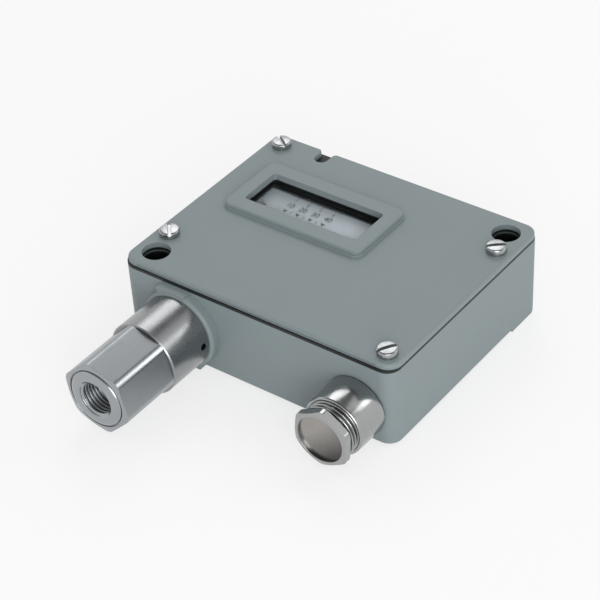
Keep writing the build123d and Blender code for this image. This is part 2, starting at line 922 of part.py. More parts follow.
with BuildPart() as gland_seal_ring:
    ring_plane = front_plane(gland_x, gland_z, -pocket_end)
    extrude(disc(ring_plane, nut_thread_r - lay_gap), amount=gland_seal_len - lay_gap)
    extrude(disc(ring_plane, gland_seal_bore), amount=gland_seal_len, mode=Mode.SUBTRACT)
gland_seal_ring.part.label = "gland_seal_ring"

with BuildPart() as gland_washer:
    washer_plane = front_plane(gland_x, gland_z, -nut_end - gland_washer_t)
    extrude(disc(washer_plane, nut_thread_r - lay_gap), amount=gland_washer_t - lay_gap)
    extrude(disc(washer_plane, gland_washer_bore), amount=gland_washer_t, mode=Mode.SUBTRACT)
gland_washer.part.label = "gland_washer"

# Chassis: bent sheet with an upright for the spindle and a flange that carries the scale plate
flange_rear = flange_front + chassis_t
upright_in = chassis_left + chassis_t
tab_z = plate_z - chassis_t
micro_holes = [
    (micro_left + micro_hole_inset_x, micro_rear - micro_hole_inset_y),
    (micro_left + micro_l - micro_hole_inset_x, micro_front + micro_hole_inset_y),
]
spindle_plane = Plane(origin=(upright_in, range_y, range_z), x_dir=(0, 1, 0), z_dir=(1, 0, 0))
guide_plane = front_plane(port_x, port_z, front_y - flange_rear)
with BuildPart() as chassis:
    with BuildSketch(height(chassis_z)):
        with Locations(((chassis_left + chassis_right) / 2, (chassis_front + chassis_rear) / 2)):
            RectangleRounded(
                chassis_right - chassis_left, chassis_rear - chassis_front, chassis_corner_r
            )
        with Locations((chassis_right, chassis_rear)):
            Rectangle(
                2 * (chassis_right - chassis_cut_x),
                2 * (chassis_rear - chassis_cut_y),
                mode=Mode.SUBTRACT,
            )
    extrude(amount=chassis_t)
    extrude(
        plate(
            height(chassis_z), chassis_left, upright_in, range_y - upright_half_w, range_y + upright_half_w
        ),
        amount=plate_z - chassis_z,
    )
    extrude(
        plate(height(chassis_z), chassis_left, flange_right, flange_front, flange_rear),
        amount=plate_z - chassis_z,
    )
    # Open slot for the spindle's journal
    with BuildSketch(spindle_plane):
        Circle(spindle_r + slide_gap)
        with Locations((0, (plate_z - range_z) / 2)):
            Rectangle(2 * (spindle_r + slide_gap), plate_z - range_z)
    extrude(amount=-chassis_t, mode=Mode.SUBTRACT)
    # Tabs under both ends of the scale plate
    extrude(
        plate(height(tab_z), chassis_left, left_tab_end, left_tab_front, flange_rear),
        amount=chassis_t,
    )
    extrude(plate(height(tab_z), tab_left, plate_right, tab_front, flange_rear), amount=chassis_t)
    scale_screw_holes = discs(height(tab_z), m2_r + thread_gap, scale_screw_places)
    extrude(scale_screw_holes, amount=chassis_t, mode=Mode.SUBTRACT)
    extrude(disc(guide_plane, rod_r + slide_gap), amount=chassis_t, mode=Mode.SUBTRACT)
    chassis_holes = discs(height(chassis_z), m3_r + face_gap, chassis_screw_places)
    extrude(chassis_holes, amount=chassis_t, mode=Mode.SUBTRACT)
    micro_threads = discs(height(chassis_z), m3_r + thread_gap, micro_holes)
    extrude(micro_threads, amount=chassis_t, mode=Mode.SUBTRACT)
    extrude(disc(height(chassis_z), pin_r, lever_x, lever_y), amount=chassis_t, mode=Mode.SUBTRACT)
chassis.part.label = "chassis"

with BuildPart() as chassis_screws:
    for x, y in chassis_screw_places:
        add(m3_screw(m3_length).moved(Location((x, y, chassis_top))))
chassis_screws.part.label = "chassis_screws"

# Scale plate with countersunk screws
with BuildPart() as scale_plate:
    extrude(plate(height(plate_z), plate_left, plate_right, plate_front, plate_rear), amount=plate_t)
    for x, y in scale_screw_places:
        add(countersunk_screw(lay_gap).moved(Location((x, y, plate_top))), mode=Mode.SUBTRACT)
scale_plate.part.label = "scale_plate"

with BuildPart() as scale_screws:
    for x, y in scale_screw_places:
        add(countersunk_screw(0).moved(Location((x, y, plate_top))))
scale_screws.part.label = "scale_screws"

# Adjusting spindle: slotted head, journal in the upright, collar, long thread
spindle_len = spindle_right - chassis_left + slide_gap
head_start = -(slide_gap + head_t)
with BuildPart() as adjusting_spindle:
    spindle_base = spindle_plane.offset(-chassis_t)
    extrude(disc(spindle_base.offset(head_start), head_r), amount=head_t)
    extrude(
        plate(
            spindle_base.offset(head_start), -head_r, head_r, -spindle_slot_w / 2, spindle_slot_w / 2
        ),
        amount=spindle_slot_depth,
        mode=Mode.SUBTRACT,
    )
    extrude(disc(spindle_base.offset(-slide_gap), spindle_r), amount=spindle_len)
    extrude(disc(spindle_base.offset(chassis_t + slide_gap), collar_r), amount=collar_t)
adjusting_spindle.part.label = "adjusting_spindle"

# Range nut: square block that the spindle moves along the scale
nut_plane = Plane(origin=(nut_left, range_y, range_z), x_dir=(0, 1, 0), z_dir=(1, 0, 0))
with BuildPart() as range_nut:
    extrude(plate(nut_plane, -nut_half_w, nut_half_w, -nut_half_h, nut_half_h), amount=nut_t)
    extrude(disc(nut_plane, spindle_r + slide_gap), amount=nut_t, mode=Mode.SUBTRACT)
range_nut.part.label = "range_nut"

# Set pointer: strip on the nut's front face, its tip bent over the scale plate
pointer_y = range_y - nut_half_w
pointer_x = nut_left + nut_t / 2
pointer_low = range_z - nut_half_h + pointer_t
with BuildPart() as set_pointer:
    with BuildSketch(Plane.YZ.offset(pointer_x)):
        with BuildLine():
            Polyline(
                (pointer_y, pointer_low),
                (pointer_y, pointer_top - pointer_t),
                (pointer_y + pointer_over - pointer_t, pointer_top - pointer_t),
                (pointer_y + pointer_over - pointer_t, pointer_top),
                (pointer_y - pointer_t, pointer_top),
                (pointer_y - pointer_t, pointer_low),
                close=True,
            )
        make_face()
    extrude(amount=pointer_w / 2, both=True)
set_pointer.part.label = "set_pointer"

# Range spring between the nut and the seat
spring_len = seat_left - lay_gap - spring_left
coil_r = spring_r - wire_r
with BuildPart() as range_spring:
    with BuildLine():
        coil = Helix(
            pitch=(spring_len - 2 * wire_r) / spring_turns,
            height=spring_len - 2 * wire_r,
            radius=coil_r,
            center=(spring_left + wire_r, range_y, range_z),
            direction=(1, 0, 0),
        )
    with BuildSketch(Plane(origin=coil @ 0, z_dir=coil % 0)):
        Circle(wire_r)
    sweep(path=coil, is_frenet=True)
range_spring.part.label = "range_spring"

# Spring seat, pinned in the lever's upturned flange
seat_plane = Plane(origin=(seat_left, range_y, range_z), x_dir=(0, 1, 0), z_dir=(1, 0, 0))
with BuildPart() as spring_seat:
    extrude(disc(seat_plane, spring_r), amount=seat_t - lay_gap)
    extrude(disc(seat_plane, seat_spigot_r), amount=-seat_spigot_len)
    extrude(disc(seat_plane, seat_pin_r), amount=seat_t + lever_flange_t)
spring_seat.part.label = "spring_seat"

# Transfer lever: three arms round one boss, the front arm with an upturned flange
lever_left = port_x - lever_left_extra - lever_x
with BuildPart() as transfer_lever:
    with BuildSketch(Plane(origin=(lever_x, lever_y, lever_z))):
        with Locations(((lever_left + lever_right_arm) / 2, 0)):
            Rectangle(lever_right_arm - lever_left, 2 * lever_half_w)
        with Locations((0, (lever_flange_y - lever_y) / 2)):
            Rectangle(2 * lever_half_w, lever_y - lever_flange_y)
    extrude(amount=lever_t)
    extrude(
        plate(height(lever_z), flange_left, flange_left + lever_flange_t, lever_flange_y, lever_flange_end),
        amount=lever_flange_top - lever_z,
    )
    extrude(
        disc(height(chassis_top + pin_seat_gap), lever_boss_r, lever_x, lever_y),
        amount=lever_boss_top - chassis_top - pin_seat_gap,
    )
    extrude(
        disc(height(chassis_top), pin_r + slide_gap, lever_x, lever_y),
        amount=lever_boss_top,
        mode=Mode.SUBTRACT,
    )
    extrude(
        disc(seat_plane.offset(seat_t), seat_pin_r + slide_gap), amount=lever_flange_t, mode=Mode.SUBTRACT
    )
transfer_lever.part.label = "transfer_lever"

# Lever pin, fast in the chassis, and the clip in its groove
clip_z = lever_boss_top + pin_seat_gap
with BuildPart() as lever_pin:
    extrude(disc(height(chassis_z), pin_r, lever_x, lever_y), amount=pin_top - chassis_z)
    with BuildSketch(height(clip_z)):
        with Locations((lever_x, lever_y)):
            Circle(pin_r)
            Circle(pin_r - clip_groove, mode=Mode.SUBTRACT)
    extrude(amount=clip_t + lay_gap, mode=Mode.SUBTRACT)
lever_pin.part.label = "lever_pin"

with BuildPart() as lever_clip:
    with BuildSketch(height(clip_z + lay_gap / 2)):
        with Locations((lever_x, lever_y)):
            Circle(clip_r)
            Circle(pin_r - clip_groove + lay_gap, mode=Mode.SUBTRACT)
        with Locations((lever_x, lever_y + clip_r / 2)):
            Rectangle(2 * (pin_r - clip_groove), clip_r, mode=Mode.SUBTRACT)
    extrude(amount=clip_t)
lever_clip.part.label = "lever_clip"

# Microswitch: body, plunger, terminals and screws
micro_mid_z = chassis_top + micro_h / 2
plunger_plane = Plane(origin=(plunger_x, micro_rear, port_z), x_dir=(1, 0, 0), z_dir=(0, 1, 0))
blade_z = micro_mid_z - blade_t / 2
with BuildPart() as microswitch_body:
    extrude(
        plate(height(chassis_top), micro_left, micro_left + micro_l, micro_front, micro_rear),
        amount=micro_h,
    )
    fillet(microswitch_body.edges().filter_by(Axis.Z), micro_corner_r)
    extrude(discs(height(chassis_top), m3_r + slide_gap, micro_holes), amount=micro_h, mode=Mode.SUBTRACT)
    plunger_hole = disc(plunger_plane, plunger_r + slide_gap)
    extrude(plunger_hole, amount=-(plunger_in + piston_stroke), mode=Mode.SUBTRACT)
    for x in blade_xs:
        extrude(
            plate(height(blade_z), x - blade_w / 2, x + blade_w / 2, micro_front, micro_front + blade_in),
            amount=blade_t,
            mode=Mode.SUBTRACT,
        )
microswitch_body.part.label = "microswitch_body"

plunger_tip = contact_y - lay_gap - micro_rear
with BuildPart() as microswitch_plunger:
    with BuildSketch(Plane(origin=(plunger_x, micro_rear, port_z), x_dir=(0, 1, 0), z_dir=(1, 0, 0))):
        with BuildLine():
            Polyline(
                (plunger_tip, 0),
                (-plunger_in, 0),
                (-plunger_in, plunger_r),
                (plunger_tip - tip_dome, plunger_r),
            )
            RadiusArc(
                (plunger_tip - tip_dome, plunger_r), (plunger_tip, 0), dome_radius(plunger_r, tip_dome)
            )
        make_face()
    revolve(axis=Axis((plunger_x, micro_rear, port_z), (0, 1, 0)))
microswitch_plunger.part.label = "microswitch_plunger"

with BuildPart() as microswitch_terminals:
    for x in blade_xs:
        extrude(
            plate(
                height(blade_z),
                x - blade_w / 2,
                x + blade_w / 2,
                micro_front - blade_len,
                micro_front + blade_in,
            ),
            amount=blade_t,
        )
microswitch_terminals.part.label = "microswitch_terminals"

with BuildPart() as microswitch_screws:
    for x, y in micro_holes:
        add(m3_screw(micro_h + chassis_t).moved(Location((x, y, chassis_top + micro_h))))
microswitch_screws.part.label = "microswitch_screws"

# Terminal block with three clamps
clamp_z = block_z + clamp_lift
clamp_top = clamp_z + clamp_h
clamp_front = block_mid_y - clamp_len / 2
clamp_rear = block_mid_y + clamp_len / 2
clamp_hole_z = clamp_z + clamp_wall + clamp_wire_r
clamped_wire_z = clamp_z + clamp_wall + wire_radius + lay_gap
terminal_seat_z = clamped_wire_z + wire_radius + lay_gap + terminal_screw_length
pocket_half_w = clamp_w / 2 + clamp_pocket_gap
with BuildPart() as terminal_block:
    extrude(
        plate(height(block_z), block_left, block_left + block_w, block_front, block_front + block_d),
        amount=block_h,
    )
    for x in pole_xs:
        extrude(
            plate(height(clamp_z), x - pocket_half_w, x + pocket_half_w, block_front, block_front + block_d),
            amount=clamp_h + clamp_pocket_gap,
            mode=Mode.SUBTRACT,
        )
        access = disc(height(clamp_top), m3_head_r + face_gap, x, block_mid_y)
        extrude(access, amount=block_h, mode=Mode.SUBTRACT)
    for x in block_screw_xs:
        screw_way = disc(height(block_z), m3_r + slide_gap, x, block_mid_y)
        extrude(screw_way, amount=block_h, mode=Mode.SUBTRACT)
terminal_block.part.label = "terminal_block"

with BuildPart() as terminal_clamps:
    for x in pole_xs:
        extrude(
            plate(height(clamp_z), x - clamp_w / 2, x + clamp_w / 2, clamp_front, clamp_rear), amount=clamp_h
        )
        wire_way = Plane(origin=(x, clamp_front, clamp_hole_z), x_dir=(1, 0, 0), z_dir=(0, 1, 0))
        extrude(disc(wire_way, clamp_wire_r), amount=clamp_len, mode=Mode.SUBTRACT)
        clamp_thread = disc(height(clamp_hole_z), m3_r + thread_gap, x, block_mid_y)
        extrude(clamp_thread, amount=clamp_h, mode=Mode.SUBTRACT)
terminal_clamps.part.label = "terminal_clamps"

with BuildPart() as terminal_screws:
    for x in pole_xs:
        add(m3_screw(terminal_screw_length).moved(Location((x, block_mid_y, terminal_seat_z))))
terminal_screws.part.label = "terminal_screws"

with BuildPart() as terminal_block_screws:
    for x in block_screw_xs:
        add(m3_screw(block_screw_length).moved(Location((x, block_mid_y, block_z + block_h))))
terminal_block_screws.part.label = "terminal_block_screws"

# Earth terminal on its pillar
with BuildPart() as earth_clamp:
    extrude(
        rounded_plate(
            height(earth_z), earth_x, earth_y, earth_clamp_size, earth_clamp_size, earth_clamp_t
        ),
        amount=earth_clamp_t,
    )
    earth_hole = disc(height(earth_z), m4_r + face_gap, earth_x, earth_y)
    extrude(earth_hole, amount=earth_clamp_t, mode=Mode.SUBTRACT)
earth_clamp.part.label = "earth_clamp"

with BuildPart() as earth_screw:
    add(m4_screw(earth_screw_length).moved(Location((earth_x, earth_y, earth_z + earth_clamp_t))))
earth_screw.part.label = "earth_screw"


def switch_wire(blade_x, pole_x, turn_y):
    """Insulated wire lying on a switch terminal, led to a clamp with two bends."""
    start_z = blade_z + blade_t + wire_radius + lay_gap
    with BuildPart() as wire:
        with BuildLine():
            path = FilletPolyline(
                (blade_x, micro_front - blade_overlap, start_z),
                (blade_x, turn_y, start_z),
                (pole_x, turn_y, clamped_wire_z),
                (pole_x, clamp_front + wire_end_in, clamped_wire_z),
                radius=wire_bend,
            )
        with BuildSketch(Plane(origin=path @ 0, z_dir=path % 0)):
            Circle(wire_radius)
        sweep(path=path)
    return wire.part


wire_common = switch_wire(blade_xs[0], pole_xs[0], wire_turn_y)
wire_common.label = "wire_common"
wire_normally_open = switch_wire(blade_xs[1], pole_xs[1], wire_turn_y - wire_spacing)
wire_normally_open.label = "wire_normally_open"
wire_normally_closed = switch_wire(blade_xs[2], pole_xs[2], wire_turn_y - 2 * wire_spacing)
wire_normally_closed.label = "wire_normally_closed"

os.makedirs("parts", exist_ok=True)
export_step(housing.part, "parts/housing.step")
export_step(cover.part, "parts/cover.step")
export_step(cover_gasket.part, "parts/cover_gasket.step")
export_step(cover_screws.part, "parts/cover_screws.step")
export_step(window_seal.part, "parts/window_seal.step")
export_step(window_pane.part, "parts/window_pane.step")
export_step(sensor_sleeve.part, "parts/sensor_sleeve.step")
export_step(sleeve_seal.part, "parts/sleeve_seal.step")
export_step(port_body.part, "parts/port_body.step")
export_step(piston.part, "parts/piston.step")
export_step(piston_seal.part, "parts/piston_seal.step")
export_step(seal_backup_ring.part, "parts/seal_backup_ring.step")
export_step(push_rod.part, "parts/push_rod.step")
export_step(gland_body.part, "parts/gland_body.step")
export_step(gland_gasket.part, "parts/gland_gasket.step")
export_step(gland_thrust_screw.part, "parts/gland_thrust_screw.step")
export_step(gland_blanking_disc.part, "parts/gland_blanking_disc.step")
export_step(gland_seal_ring.part, "parts/gland_seal_ring.step")
export_step(gland_washer.part, "parts/gland_washer.step")
export_step(chassis.part, "parts/chassis.step")
export_step(chassis_screws.part, "parts/chassis_screws.step")
export_step(scale_plate.part, "parts/scale_plate.step")
export_step(scale_screws.part, "parts/scale_screws.step")
export_step(adjusting_spindle.part, "parts/adjusting_spindle.step")
export_step(range_nut.part, "parts/range_nut.step")
export_step(set_pointer.part, "parts/set_pointer.step")
export_step(range_spring.part, "parts/range_spring.step")
export_step(spring_seat.part, "parts/spring_seat.step")
export_step(transfer_lever.part, "parts/transfer_lever.step")
export_step(lever_pin.part, "parts/lever_pin.step")
export_step(lever_clip.part, "parts/lever_clip.step")
export_step(microswitch_body.part, "parts/microswitch_body.step")
export_step(microswitch_plunger.part, "parts/microswitch_plunger.step")
export_step(microswitch_terminals.part, "parts/microswitch_terminals.step")
export_step(microswitch_screws.part, "parts/microswitch_screws.step")
export_step(terminal_block.part, "parts/terminal_block.step")
export_step(terminal_clamps.part, "parts/terminal_clamps.step")
export_step(terminal_screws.part, "parts/terminal_screws.step")
export_step(terminal_block_screws.part, "parts/terminal_block_screws.step")
export_step(earth_clamp.part, "parts/earth_clamp.step")
export_step(earth_screw.part, "parts/earth_screw.step")
export_step(wire_common, "parts/wire_common.step")
export_step(wire_normally_open, "parts/wire_normally_open.step")
export_step(wire_normally_closed, "parts/wire_normally_closed.step")
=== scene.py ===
"""Piston pressure switch: materials, turned and printed detail, studio light and camera.

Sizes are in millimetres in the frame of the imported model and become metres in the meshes. Lamps and
the depths of bumps are in metres.
"""

from math import cos, radians, sin

import bmesh
import bpy
import numpy as np
from mathutils import Matrix, Vector


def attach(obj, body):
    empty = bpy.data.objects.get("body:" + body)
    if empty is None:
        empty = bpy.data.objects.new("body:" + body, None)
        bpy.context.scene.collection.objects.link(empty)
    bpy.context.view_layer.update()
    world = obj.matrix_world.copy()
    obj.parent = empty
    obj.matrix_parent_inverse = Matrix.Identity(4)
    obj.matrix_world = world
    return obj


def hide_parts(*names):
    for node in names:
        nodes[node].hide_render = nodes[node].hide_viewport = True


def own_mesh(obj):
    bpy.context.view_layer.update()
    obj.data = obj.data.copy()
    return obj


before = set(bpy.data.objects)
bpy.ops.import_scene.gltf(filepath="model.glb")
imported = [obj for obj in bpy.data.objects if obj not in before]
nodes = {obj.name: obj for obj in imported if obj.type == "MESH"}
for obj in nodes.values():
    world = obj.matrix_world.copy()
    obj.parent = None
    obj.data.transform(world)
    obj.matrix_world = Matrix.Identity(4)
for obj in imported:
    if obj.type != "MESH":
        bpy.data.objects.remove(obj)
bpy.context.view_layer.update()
MM = 0.001

# Places shared with the solids; the axes of the port and of the gland are given as (x, z)
FRONT_Y = -44.6
PORT = (-29.4, 15.35)
GLAND = (41.0, 13.05)
COVER_TOP = 33.5
PLATE_TOP = 30.0
WELL_PLACE, WELL_RADIUS = (46.8, 35.7), 5.2
WELL_TOP, WELL_BOTTOM = 31.0, 1.5
HEX_SHOULDER = FRONT_Y - 45.1


# Shader helpers


def linear(red, green, blue):
    """Scene-linear colour of an sRGB colour given in 0 to 255."""
    channel = np.array([red, green, blue]) / 255
    value = np.where(channel <= 0.04045, channel / 12.92, ((channel + 0.055) / 1.055) ** 2.4)
    return (*value.tolist(), 1.0)


class Graph:
    """A node tree with short calls for adding and wiring nodes."""

    def __init__(self, tree):
        self.tree = tree

    def add(self, kind, **settings):
        node = self.tree.nodes.new(kind)
        for key, value in settings.items():
            setattr(node, key, value)
        return node

    def feed(self, socket, source):
        """Wire a socket from another one, or set it to a constant."""
        if isinstance(source, bpy.types.NodeSocket):
            self.tree.links.new(source, socket)
        else:
            socket.default_value = source

    def math(self, operation, a, b=0.0, c=0.0):
        node = self.add("ShaderNodeMath", operation=operation)
        for socket, source in zip(node.inputs, (a, b, c)):
            self.feed(socket, source)
        return node.outputs[0]

    def mix(self, factor, a, b):
        node = self.add("ShaderNodeMix", data_type="RGBA")
        self.feed(node.inputs[0], factor)
        self.feed(node.inputs[6], a)
        self.feed(node.inputs[7], b)
        return node.outputs[2]

    def ramp(self, value, low, high, to_low=0.0, to_high=1.0):
        """Straight ramp of a value from one range to another, clamped."""
        node = self.add("ShaderNodeMapRange")
        self.feed(node.inputs[0], value)
        for socket, number in zip(node.inputs[1:5], (low, high, to_low, to_high)):
            self.feed(socket, number)
        return node.outputs[0]

    def noise(self, vector, scale, detail=2.0, roughness=0.5):
        node = self.add("ShaderNodeTexNoise")
        self.feed(node.inputs["Vector"], vector)
        self.feed(node.inputs["Scale"], scale)
        self.feed(node.inputs["Detail"], detail)
        self.feed(node.inputs["Roughness"], roughness)
        return node.outputs[0]

    def bump(self, height, strength, distance):
        node = self.add("ShaderNodeBump")
        self.feed(node.inputs["Strength"], strength)
        self.feed(node.inputs["Distance"], distance)
        self.feed(node.inputs["Height"], height)
        return node.outputs[0]

    def shade(self, colour, factor):
        """Colour made lighter or darker by a factor."""
        node = self.add("ShaderNodeVectorMath", operation="SCALE")
        self.feed(node.inputs[0], colour)
        self.feed(node.inputs["Scale"], factor)
        return node.outputs[0]

    def distance(self, across, along):
        """Length of two steps square to each other."""
        squares = self.math("ADD", self.math("POWER", across, 2.0), self.math("POWER", along, 2.0))
        return self.math("SQRT", squares)

    def place(self):
        return self.add("ShaderNodeTexCoord").outputs["Object"]

    def axes(self):
        """X, Y and Z of the place on the surface."""
        split = self.add("ShaderNodeSeparateXYZ")
        self.feed(split.inputs[0], self.place())
        return split.outputs

    def stretched(self, scale):
        """Place on the surface, scaled along each axis."""
        stretch = self.add("ShaderNodeMapping")
        self.feed(stretch.inputs["Vector"], self.place())
        self.feed(stretch.inputs["Scale"], scale)
        return stretch.outputs[0]

    def seen_ray(self):
        """One for a ray that shows the background: from the camera, off a gloss or through the pane."""
        path = self.add("ShaderNodeLightPath").outputs
        seen = self.math("MAXIMUM", path["Is Camera Ray"], path["Is Glossy Ray"])
        return self.math("MAXIMUM", seen, path["Is Transmission Ray"])


def group(name, inputs, outputs, build):
    """Shader node group with named sockets; build wires it from its Graph, inputs and outputs."""
    tree = bpy.data.node_groups.new(name, "ShaderNodeTree")
    for label, kind, default in inputs:
        socket = tree.interface.new_socket(name=label, in_out="INPUT", socket_type=kind)
        socket.default_value = default
    for label, kind in outputs:
        tree.interface.new_socket(name=label, in_out="OUTPUT", socket_type=kind)
    graph = Graph(tree)
    source = graph.add("NodeGroupInput")
    target = graph.add("NodeGroupOutput")
    build(graph, source.outputs, target.inputs)
    return tree


FLOAT, COLOUR = "NodeSocketFloat", "NodeSocketColor"


def build_mottle(g, given, out):
    """Slow and fine variation of a colour: lighter and darker clouds and small specks."""
    place = g.place()
    clouds = g.noise(place, given["Cloud Scale"], 3.0)
    specks = g.noise(place, given["Speck Scale"], 2.0, 0.7)
    cloud = g.math("MULTIPLY", g.ramp(clouds, 0.3, 0.7, -0.5, 0.5), given["Cloud"])
    speck = g.math("MULTIPLY", g.ramp(specks, 0.35, 0.65, -0.5, 0.5), given["Speck"])
    change = g.math("ADD", g.math("ADD", cloud, speck), 1.0)
    g.feed(out["Color"], g.shade(given["Color"], change))
    g.feed(out["Clouds"], clouds)
    g.feed(out["Specks"], specks)


mottle = group(
    "Mottle",
    [
        ("Color", COLOUR, (0.5, 0.5, 0.5, 1)),
        ("Cloud", FLOAT, 0.05),
        ("Speck", FLOAT, 0.05),
        ("Cloud Scale", FLOAT, 60.0),
        ("Speck Scale", FLOAT, 1500.0),
    ],
    [("Color", COLOUR), ("Clouds", FLOAT), ("Specks", FLOAT)],
    build_mottle,
)


def build_turning(g, given, out):
    """Fine tool marks round an axis along Y: noise that varies fast along Y and slowly round it."""
    g.feed(out["Marks"], g.noise(g.stretched((0.02, 1.0, 0.02)), given["Pitch"], 3.0, 0.65))
    g.feed(out["Patches"], g.noise(g.place(), 220.0, 3.0))


turning = group(
    "Turning Marks",
    [("Pitch", FLOAT, 4000.0)],
    [("Marks", FLOAT), ("Patches", FLOAT)],
    build_turning,
)


def build_drawing(g, given, out):
    """Fine drawn lines along Y with small pits, as on bar stock."""
    g.feed(out["Marks"], g.noise(g.stretched((1.0, 0.04, 1.0)), given["Pitch"], 3.0, 0.6))
    g.feed(out["Patches"], g.noise(g.place(), 300.0, 4.0, 0.6))


drawing = group(
    "Drawn Lines",
    [("Pitch", FLOAT, 3000.0)],
    [("Marks", FLOAT), ("Patches", FLOAT)],
    build_drawing,
)


def build_wells(g, given, out):
    """Mask of the painted shade down the two fixing wells: full between their ends, within a radius of
    either axis.
    """
    x, y, z = g.axes()
    half = g.math("SIGN", x)
    across = g.math("SUBTRACT", x, g.math("MULTIPLY", half, WELL_PLACE[0] * MM))
    along = g.math("SUBTRACT", y, g.math("MULTIPLY", half, WELL_PLACE[1] * MM))
    edge = WELL_RADIUS * MM
    within = g.ramp(g.distance(across, along), edge, edge + 0.1 * MM, 1.0, 0.0)
    below = g.ramp(z, (WELL_TOP - 1.5) * MM, WELL_TOP * MM, 1.0, 0.0)
    above = g.ramp(z, WELL_BOTTOM * MM, (WELL_BOTTOM + 0.5) * MM)
    g.feed(out["Depth"], g.math("MULTIPLY", g.math("MULTIPLY", within, below), above))


well_shade_mask = group("Well Depth", [], [("Depth", FLOAT)], build_wells)


def build_radius(g, given, out):
    """Distance from the axis of the pressure port, place along it, and its right half."""
    x, y, z = g.axes()
    across = g.math("SUBTRACT", x, PORT[0] * MM)
    height = g.math("SUBTRACT", z, PORT[1] * MM)
    g.feed(out["Radius"], g.distance(across, height))
    g.feed(out["Along"], y)
    g.feed(out["Right"], g.ramp(across, 0.0, 0.1 * MM))


port_radius = group(
    "Port Radius", [], [("Radius", FLOAT), ("Along", FLOAT), ("Right", FLOAT)], build_radius
)


def use(graph, tree, **values):
    """Place a node group and set its inputs by name, with underscores for spaces."""
    node = graph.add("ShaderNodeGroup")
    node.node_tree = tree
    for key, value in values.items():
        graph.feed(node.inputs[key.replace("_", " ")], value)
    return node.outputs


def new_material(name, colour, roughness, metallic=0.0, **sockets):
    """Material with one Principled shader; returns it with its graph and shader."""
    material = bpy.data.materials.new(name)
    material.use_nodes = True
    material.diffuse_color = colour
    graph = Graph(material.node_tree)
    shader = material.node_tree.nodes["Principled BSDF"]
    shader.inputs["Base Color"].default_value = colour
    shader.inputs["Roughness"].default_value = roughness
    shader.inputs["Metallic"].default_value = metallic
    for key, value in sockets.items():
        shader.inputs[key.replace("_", " ")].default_value = value
    return material, graph, shader.inputs


def painted(name, colour):
    """Stoved paint on a die casting: slight orange peel, clouds and specks, and painted shade that turns
    it near black down the wells.
    """
    material, g, shader = new_material(name, colour, 0.48, Specular_IOR_Level=0.36)
    spots = use(g, mottle, Color=colour, Cloud=0.05, Speck=0.07, Cloud_Scale=45.0, Speck_Scale=2600.0)
    well_shade = use(g, well_shade_mask)["Depth"]
    # Painted shade: the paint turns near black down the fixing wells, where their depth keeps the light
    # out
    g.feed(shader["Base Color"], g.mix(well_shade, spots["Color"], linear(17, 20, 21)))
    g.feed(shader["Roughness"], g.ramp(spots["Clouds"], 0.3, 0.7, 0.43, 0.53))
    g.feed(shader["Normal"], g.bump(spots["Specks"], 0.16, 0.0002))
    return material


def machined(name, colour, roughness, marks, pitch, strength, dull=0.15, contrast=0.1, corner=None):
    """Bare or plated metal with tool marks in one direction and slightly dull patches.

    A corner radius polishes the port's right half beyond it, and its turned front end.
    """
    material, g, shader = new_material(name, colour, roughness, 1.0)
    lines = use(g, marks, Pitch=pitch)
    tone = g.ramp(lines["Marks"], 0.3, 0.7, 1 - contrast, 1 + contrast)
    g.feed(shader["Base Color"], g.shade(colour[:3], tone))
    blur = g.ramp(lines["Patches"], 0.3, 0.7, roughness - dull / 2, roughness + dull / 2)
    if corner is not None:
        port_place = use(g, port_radius)
        front_end = g.ramp(port_place["Along"], HEX_SHOULDER * MM, (HEX_SHOULDER - 0.1) * MM)
        beyond = g.ramp(port_place["Radius"], (corner - 0.08) * MM, corner * MM)
        outer = g.math("MULTIPLY", port_place["Right"], beyond)
        polished = g.math("MAXIMUM", outer, front_end)
        blur = g.math("MULTIPLY_ADD", polished, -roughness * 0.6, blur)
    g.feed(shader["Roughness"], blur)
    g.feed(shader["Normal"], g.bump(lines["Marks"], strength, 0.00006))
    return material


def reflection_painted(name, colour, dark, roughness):
    """Plated blanking disc with a painted dark reflection that darkens it towards its lower right, with
    soft clouds.
    """
    material, g, shader = new_material(name, colour, roughness, 1.0)
    x, _, z = g.axes()
    # Painted reflection: a dark slant across the disc towards its lower right
    slant = g.math("SUBTRACT", x, z)
    cloud = use(g, mottle, Color=colour, Cloud=0.1, Speck=0.04, Cloud_Scale=130.0)
    slant = g.math("MULTIPLY_ADD", cloud["Clouds"], 0.006, slant)
    start = (GLAND[0] - GLAND[1] - 1.0) * MM
    shade = g.ramp(slant, start, start + 14.5 * MM, 0.0, 0.9)
    g.feed(shader["Base Color"], g.mix(shade, cloud["Color"], dark))
    g.feed(shader["Roughness"], g.ramp(cloud["Clouds"], 0.3, 0.7, roughness - 0.05, roughness + 0.05))
    g.feed(shader["Normal"], g.bump(cloud["Clouds"], 0.3, 0.0006))
    return material


def moulded(name, colour, roughness):
    """Moulded plastic or rubber with a fine matt grain."""
    material, g, shader = new_material(name, colour, roughness)
    spots = use(g, mottle, Color=colour, Cloud=0.12, Speck=0.18, Cloud_Scale=90.0, Speck_Scale=1800.0)
    g.feed(shader["Base Color"], spots["Color"])
    g.feed(shader["Roughness"], g.ramp(spots["Clouds"], 0.3, 0.7, roughness - 0.06, roughness + 0.06))
    g.feed(shader["Normal"], g.bump(spots["Specks"], 0.15, 0.0002))
    return material


